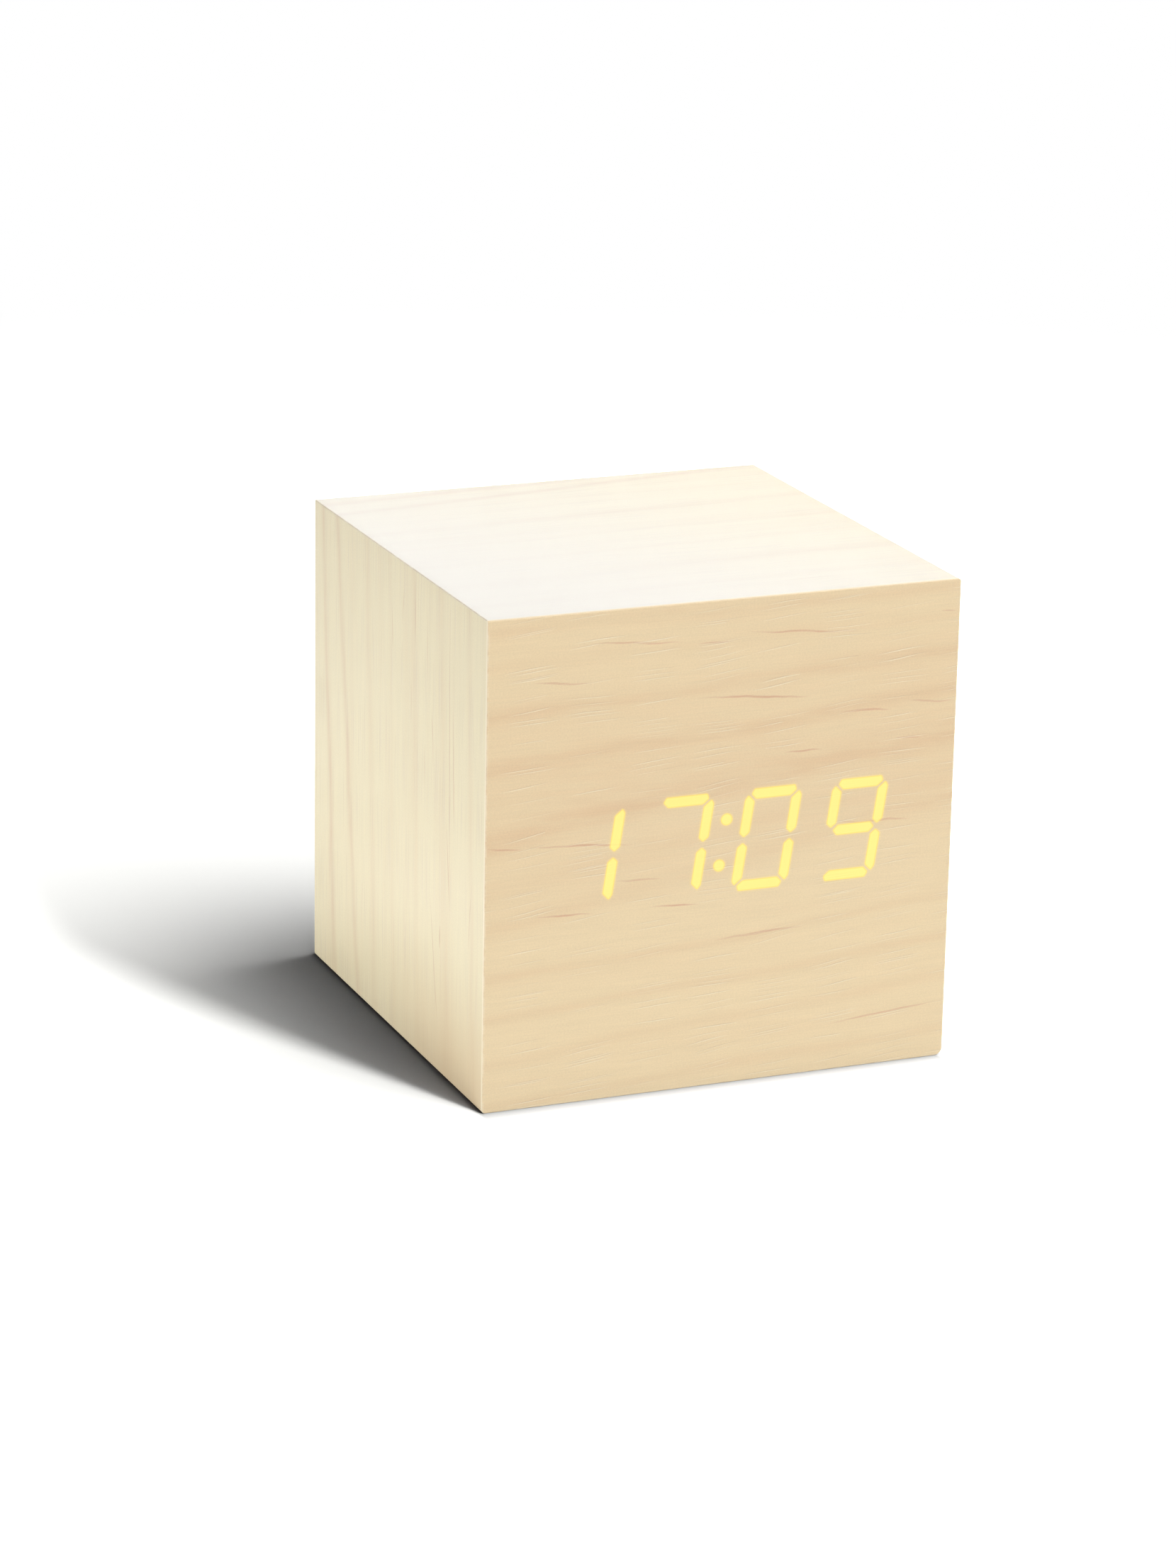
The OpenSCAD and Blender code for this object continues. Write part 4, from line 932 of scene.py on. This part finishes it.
def facedOut(points, faces):
    # turns all faces round if they enclose a negative volume
    points = points.reshape(-1, 3)
    fans = np.array([(f[0], f[k], f[k + 1]) for f in faces for k in range(1, len(f) - 1)])
    a, b, c = points[fans[:, 0]], points[fans[:, 1]], points[fans[:, 2]]
    volume = np.sum(a * np.cross(b, c))
    return faces if volume > 0 else [f[::-1] for f in faces]


def joined(parts):
    # several lists of points and faces as one
    counts = np.cumsum([0] + [len(points.reshape(-1, 3)) for points, _ in parts])
    points = np.concatenate([points.reshape(-1, 3) for points, _ in parts])
    return points, [[v + start for v in face] for (_, faces), start in zip(parts, counts) for face in faces]


def placed(points, faces, signs, move):
    # copy of a shape, mirrored where its signs are negative, at its place
    moved = points.reshape(-1, 3) * signs + move
    return moved, facedOut(moved, faces)


def turned(profile, sides):
    # profile of radius and height turned about +y; its first and last points are the poles
    radius, height = np.asarray(profile, float).T
    x, z = circle(1.0, sides).T
    r, y = radius[1:-1, None], height[1:-1, None]
    rings = sideBySide(r * x, y, r * z)
    rows = len(rings)
    points = np.concatenate([rings.reshape(-1, 3), [[0, height[0], 0], [0, height[-1], 0]]])
    a, b = np.arange(sides), np.roll(np.arange(sides), -1)
    last = (rows - 1) * sides
    fan = sideBySide(a, b, rows * sides)
    lid = sideBySide(b + last, a + last, rows * sides + 1)
    faces = gridFaces(rows, sides, closeColumns=True)[:, ::-1].tolist() + fan.tolist() + lid.tolist()
    return points, facedOut(points, faces)


def arc(centreR, centreH, radius, start, stop, steps):
    # part of a turn in a profile, angles from the outward direction towards +y
    return [centreR, centreH] + radius * ray(np.radians(np.linspace(start, stop, steps + 1)))


def swept(path, section, aside):
    # section of n and b offsets carried along the path, square to it, with flat ends;
    # n is square to the path and to aside, b to the path and to n
    along = unit(np.gradient(path, axis=0))
    n = unit(np.cross(along, np.broadcast_to(aside, along.shape)))
    b = np.cross(along, n)
    points = path[:, None] + section[None, :, :1] * n[:, None] + section[None, :, 1:] * b[:, None]
    rows, sides = points.shape[:2]
    ends = [list(range(sides))[::-1], list(range((rows - 1) * sides, rows * sides))]
    faces = gridFaces(rows, sides, closeColumns=True).tolist() + ends
    return points, facedOut(points, faces)


def finePiece(name, shape, slot, body="case", *nodes):
    return makePiece(name, shape, finishes[slot], slot, body, *nodes)


# Buttons: stem and flange behind the cover, cap with a round edge and a shallow dish

button = {
    "z": 56.225, "stem": 1.8, "stemEdge": 0.1, "flange": 3.1, "flangeFrom": 28.6, "flangeTo": 29.7,
    "cap": 2.5, "edge": 0.4, "edgeSteps": 6, "dish": 0.16, "dishSteps": 9, "end": 33.2, "sides": 56,
    "places": {"set": -9.0, "up": 0.0, "down": 9.0},
}


def makeButton(name, x, b):
    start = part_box(name + "_button")[0].y / mm
    stem, cap, edge = b["stem"], b["cap"], b["edge"]
    dishR = np.linspace(cap - edge, 0, b["dishSteps"])
    dishH = b["end"] - b["dish"] * (1 - (dishR / dishR[0]) ** 2)
    profile = np.concatenate([
        [[0, start], [stem - b["stemEdge"], start], [stem, start + b["stemEdge"]], [stem, b["flangeFrom"]],
         [b["flange"], b["flangeFrom"]], [b["flange"], b["flangeTo"]], [cap, b["flangeTo"]]],
        arc(cap - edge, b["end"] - edge, edge, 0, 90, b["edgeSteps"])[:-1],
        sideBySide(dishR, dishH)])
    points, faces = turned(profile, b["sides"])
    shape = points + [x, 0, b["z"]], faces
    finePiece(name + "_cap", shape, "button_plastic", name + "_key", name + "_button")


for buttonName, buttonX in button["places"].items():
    makeButton(buttonName, buttonX, button)

# Cells: crimped can in a foil sleeve, nub at one end, each the other way round from its neighbour

cells = {
    "radius": 5.25, "length": 44.5, "edge": 0.5, "nub": 1.9, "nubLength": 1.0, "nubEdge": 0.3,
    "y": 24.35, "endX": 24.05,
    "bandFrom": 9.0, "bareFrom": (22.7, -19.9),  # counted from the cell's middle towards the nub
    "places": ((15.725, -1), (26.525, 1), (37.325, -1)), "sides": 56,
    "sleeve": tint(44, 46, 50), "band": tint(196, 150, 84), "can": (0.7, 0.68, 0.64, 1),
}


def cellFinish(c):
    # foil sleeve with a copper band at the nub's end; bare metal at both ends
    finish = Finish("cellSleeve", {"Coat Weight": 0.5, "Coat Roughness": 0.12})
    spot = finish.spot()
    x, _, z = finish.split(spot)
    middle = abs(z - c["places"][1][0]).step(5.5, 5.3)
    along = -(x * (1.0 - middle * 2.0))
    band = along.step(c["bandFrom"], c["bandFrom"] + 0.3)
    nubEnd, footEnd = c["bareFrom"]
    bare = along.step(nubEnd, nubEnd + 0.2).most(along.step(footEnd, footEnd - 0.2))
    colour = finish.mix(bare, finish.mix(band, c["sleeve"], c["band"]), c["can"])
    foil = finish.noise(spot, 0.25, 1.0)
    finish.wear({"Base Color": colour, "Metallic": band * 0.8 + bare * 0.2, "Roughness": foil * 0.12 + 0.24})
    return finish


def makeCells(c):
    # the small steps between nub, shoulder and foot are the crimped rims of the can
    r, end, edge = c["radius"], c["length"], c["edge"]
    nub, shoulder, nubEdge = c["nub"], c["nubLength"], c["nubEdge"]
    profile = np.concatenate([
        [[0, 0]], arc(nub - nubEdge, nubEdge, nubEdge, -90, 0, 4), [[nub, shoulder]],
        [[r - 1.1, shoulder], [r - 1.0, shoulder + 0.15], [r - 0.75, shoulder + 0.15]],
        arc(r - edge, shoulder + edge, edge, -90, 0, 5), arc(r - edge, end - edge, edge, 0, 90, 5),
        [[r - 0.9, end - 0.12], [r - 1.1, end - 0.12], [r - 1.25, end], [0, end]]])
    points, faces = turned(profile, c["sides"])
    lying = points[:, [1, 0, 2]]
    parts = [placed(lying, faces, [-side, 1, 1], [side * c["endX"], c["y"], z]) for z, side in c["places"]]
    finishes["cell_sleeve"] = cellFinish(c)
    finePiece("cells", joined(parts), "cell_sleeve", "case", "battery_cells")


makeCells(cells)

# Contact springs: straight ends, turns that narrow towards the cell

spring = {"wide": 3.2, "narrow": 2.0, "wire": 0.25, "length": 3.6, "turns": 2.5, "points": 150, "sides": 14}


def makeSprings(s, c):
    # the radius narrows evenly along the turns; both ends run square to what they meet
    t = np.linspace(0, 1, s["points"])
    radius = s["wide"] + (s["narrow"] - s["wide"]) * t
    angle = 2 * math.pi * s["turns"] * t
    lead = 3 * s["wire"]
    coil = sideBySide(lead + (s["length"] - 2 * lead) * t, radius * np.cos(angle), radius * np.sin(angle))
    first, last = coil[0] * [0, 1, 1], coil[-1] * [0, 1, 1] + [s["length"], 0, 0]
    straight = np.array([s["wire"], 0, 0])
    path = np.concatenate([[first, first + straight], coil[2:-2], [last - straight, last]])
    points, faces = swept(path, circle(s["wire"], s["sides"]), (0.2, 0.4, 1))
    parts = [placed(points, faces, [side, side, 1], [-side * c["endX"], c["y"], z])
             for z, side in c["places"]]
    finePiece("springs", joined(parts), "bright_metal", "case", "contact_springs")


makeSprings(spring, cells)

# Leads from the solder tabs up to the control board

leads = {
    "tabX": 24.25, "y": 17.4, "riseZ": 44.575, "drawHeight": 7.0, "bend": 2.6, "endX": 18.0, "endY": 20.9,
    "radius": 0.6, "sides": 20, "riseSteps": 40, "bendSteps": 12,
    "wires": {"positive_lead": (-1, 38.525, "red_wire"), "negative_lead": (1, 16.925, "black_wire")},
}


def makeLead(name, side, fromZ, slot, l):
    # straight rise, drawn in by a smooth step over the last part, then a quarter turn into the board
    top = l["riseZ"]
    z = np.linspace(fromZ, top, l["riseSteps"])[:-1]
    u = np.clip(1 - (top - z) / l["drawHeight"], 0, 1)
    x = l["tabX"] + (l["endX"] - l["tabX"]) * u * u * (3 - 2 * u)
    rise = sideBySide(x, l["y"], z)
    a = np.linspace(0, math.pi / 2, l["bendSteps"])
    bend = sideBySide(l["endX"], l["y"] + l["bend"] * (1 - np.cos(a)), top + l["bend"] * np.sin(a))
    path = np.concatenate([rise, bend, [[l["endX"], l["endY"], top + l["bend"]]]]) * [side, 1, 1]
    shape = swept(path, circle(l["radius"], l["sides"]), (-side, 1, -1))
    finePiece(name + "_wire", shape, slot, "case", name)


for leadName, leadPlace in leads["wires"].items():
    makeLead(leadName, *leadPlace, leads)

# Ribbon cable between the two boards

ribbon = {
    "width": 10.0, "thick": 0.9, "sag": 4.0, "strands": 10, "stub": 3.0, "fromY": -21.8, "toY": 18.8,
    "steps": 60, "strandSteps": 8, "groove": 0.55, "sockets": ("display_socket", "control_socket"),
}


def makeRibbon(r):
    # the middle line climbs by a smooth step and sags by a squared sine;
    # the section has one bulge for each strand
    fromZ, toZ = (sum(corner.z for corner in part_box(socket)) / 2 / mm for socket in r["sockets"])
    u = np.linspace(0, 1, r["steps"])
    run = r["toY"] - r["fromY"] - 2 * r["stub"]
    z = fromZ + (toZ - fromZ) * u * u * (3 - 2 * u) - r["sag"] * np.sin(math.pi * u) ** 2
    line = sideBySide(0, r["fromY"] + r["stub"] + u * run, z)
    path = np.concatenate([[[0, r["fromY"], fromZ]], line, [[0, r["toY"], toZ]]])
    across = np.linspace(-r["width"] / 2, r["width"] / 2, r["strands"] * r["strandSteps"] + 1)
    bulge = np.abs(np.sin(math.pi * r["strands"] * (across / r["width"] + 0.5)))
    half = r["thick"] / 2 * (r["groove"] + (1 - r["groove"]) * np.sqrt(bulge))
    section = np.concatenate([sideBySide(half, across), sideBySide(-half, across)[::-1]])
    finePiece("ribbon", swept(path, section, (1, 0, 0)), "ribbon_grey", "case", "ribbon_cable")


makeRibbon(ribbon)

# Moulded pieces: the CAD shape with its edges rounded

moulded = {
    "cover": {"node": "back_cover", "slot": "cover_plastic", "body": "case", "edge": 0.22},
    "door": {"node": "battery_door", "slot": "cover_plastic", "body": "door", "edge": 0.09},
    "knob": {"node": "slide_knob", "slot": "button_plastic", "body": "switch_slider", "edge": 0.14},
    "jack": {"node": "power_jack", "slot": "black_plastic", "body": "case", "edge": 0.18},
}
edges = {"segments": 3, "fromAngle": 40, "weld": 0.001, "flatAngle": 1}


def roundEdges(piece, width):
    bevel = piece.modifiers.new("roundEdges", "BEVEL")
    bevel.width = width * mm
    bevel.segments = edges["segments"]
    bevel.limit_method = "ANGLE"
    bevel.angle_limit = math.radians(edges["fromAngle"])
    bevel.harden_normals = True
    weld = piece.modifiers.new("closeSeams", "WELD")
    weld.merge_threshold = edges["weld"] * mm


def makeMoulded(name, m):
    # the node's loose triangles are joined, and flat neighbours become one face
    work = bmesh.new()
    work.from_mesh(frame["nodes"][m["node"]].data)
    bmesh.ops.remove_doubles(work, verts=work.verts, dist=1e-7)
    flat = math.radians(edges["flatAngle"])
    bmesh.ops.dissolve_limit(work, angle_limit=flat, verts=work.verts, edges=work.edges)
    work.verts.index_update()
    points = np.array([v.co for v in work.verts]) / mm
    faces = [[v.index for v in face.verts] for face in work.faces]
    work.free()
    roundEdges(finePiece(name, (points, faces), m["slot"], m["body"], m["node"]), m["edge"])


for mouldedName, mouldedSettings in moulded.items():
    makeMoulded(mouldedName, mouldedSettings)

# Printed marks over the controls, and an arrow printed on the door

marks = {
    "low": 31.98, "high": 32.02, "row": 60.6, "sides": 40, "stroke": 0.22, "thinStroke": 0.154,
    "triangle": 0.95, "dial": 1.05, "longHand": 0.62, "shortHand": 0.5,
    "letterHeight": 1.3, "letterWidth": 0.92, "letterGap": 0.34, "letterZ": 51.9, "roundWider": 0.03,
    "words": {"OFF": 2.2, "ON": 6.2},
    "plugZ": 49.325, "plugRing": 0.8, "plugX": (20.4, 23.3, 26.2), "plugSign": 0.42, "plugPin": 0.36,
    "plugCup": 0.9, "cupTurn": 140, "cupSteps": 28,
}
doorArrow = {"tip": 28.6, "neck": 31.4, "top": 34.6, "wide": 2.6, "shaft": 0.9}


def prism(outline):
    # outline in x and z carried straight along y through the print's thickness
    count = len(outline)
    points = np.concatenate([atDepth(outline, marks[level]) for level in ("low", "high")])
    ends = [list(range(count))[::-1], list(range(count, 2 * count))]
    return points, facedOut(points, gridFaces(2, count, closeColumns=True).tolist() + ends)


def flatRing(centre, wide, tall):
    # square section carried round an ellipse in x and z
    way = circle(1.0, marks["sides"])
    outer = way * [wide, tall] + centre
    inner = way * [wide - marks["stroke"], tall - marks["stroke"]] + centre
    section = ((outer, "low"), (outer, "high"), (inner, "high"), (inner, "low"))
    points = np.stack([atDepth(ring, marks[level]) for ring, level in section])
    return points, facedOut(points, gridFaces(4, len(way), closeRows=True, closeColumns=True).tolist())


def strokeBetween(start, stop, width):
    # rectangle about a straight line
    along = unit(stop - start)
    aside = np.array([-along[1], along[0]]) * width / 2
    return prism(np.array([start - aside, stop - aside, stop + aside, start + aside]))


def letterOutline(letter, w, h, s):
    # corners of a straight letter from its lower left
    if letter == "N":
        return np.array([[0, 0], [0, h], [s * 1.2, h], [w - s, s * 1.7], [w - s, h], [w, h], [w, 0],
                         [w - s * 1.2, 0], [s, h - s * 1.7], [s, 0]])
    bar = 0.58 * h
    return np.array([[0, 0], [0, h], [w * 0.9, h], [w * 0.9, h - s], [s, h - s], [s, bar], [w * 0.8, bar],
                     [w * 0.8, bar - s], [s, bar - s], [s, 0]])


def buttonMarks(m, places):
    # a dial with two hands over the set button, triangles over the other two
    dial = np.array([places["set"], m["row"]])
    h, long, short = m["stroke"] / 2, m["longHand"], m["shortHand"]
    hands = np.array([[h, 0], [h, long], [-h, long], [-h, -h], [-short, -h], [-short, -3 * h], [h, -3 * h]])
    triangle = np.array([[-1, -0.8], [1, -0.8], [0, 0.9]]) * m["triangle"]
    return [flatRing(dial, m["dial"], m["dial"]), prism(hands + dial),
            prism(triangle + [places["up"], m["row"]]),
            prism(triangle * [1, -1] + [places["down"], m["row"]])]


def wordMarks(m):
    # words over the switch, read from behind
    wide, tall, gap = m["letterWidth"], m["letterHeight"], m["letterGap"]
    parts = []
    for word, middle in m["words"].items():
        length = len(word) * wide + (len(word) - 1) * gap
        for i, letter in enumerate(word):
            left = i * (wide + gap) - length / 2
            if letter == "O":
                centre = [middle - left - wide / 2, m["letterZ"]]
                parts.append(flatRing(centre, wide / 2 + m["roundWider"], tall / 2))
            else:
                outline = letterOutline(letter, wide, tall, m["stroke"]) + [left, -tall / 2]
                parts.append(prism(outline * [-1, 1] + [middle, m["letterZ"]]))
    return parts


def plugMarks(m):
    # plug polarity beside the inlet: plus in the pin, minus round it
    plus, pin, minus = (np.array([x, m["plugZ"]]) for x in m["plugX"])
    r, h, reach, cup = m["plugRing"], m["stroke"] / 2, m["plugSign"], m["plugCup"]
    arm = np.array([[h, h], [h, reach], [-h, reach]])
    quarter = np.array([[0, 1], [-1, 0]])
    cross = np.concatenate([arm @ np.linalg.matrix_power(quarter, k) for k in range(4)])
    turn = np.radians(np.linspace(-m["cupTurn"], m["cupTurn"], m["cupSteps"] + 1))
    way = ray(turn)
    return [flatRing(plus, r, r), flatRing(minus, r, r), prism(cross + plus),
            strokeBetween(minus - [reach, 0], minus + [reach, 0], m["stroke"]),
            prism(circle(m["plugPin"], 24) + pin),
            strokeBetween(plus + [r - 0.02, 0], pin - [m["plugPin"] - 0.02, 0], m["thinStroke"]),
            prism(np.concatenate([way * cup, way[::-1] * (cup - m["stroke"])]) + pin),
            strokeBetween(pin + [cup - 0.02, 0], minus - [r - 0.02, 0], m["thinStroke"])]


def makeDoorArrow(a):
    # arrow pointing down under the tongue
    right = np.array([[a["wide"], a["neck"]], [a["shaft"], a["neck"]], [a["shaft"], a["top"]]])
    outline = np.concatenate([[[0, a["tip"]]], right, right[::-1] * [-1, 1]])
    finePiece("door_arrow", prism(outline), "white_plastic", "door")


allMarks = buttonMarks(marks, button["places"]) + wordMarks(marks) + plugMarks(marks)
finePiece("printed_marks", joined(allMarks), "white_plastic")
makeDoorArrow(doorArrow)
print("back pieces made")
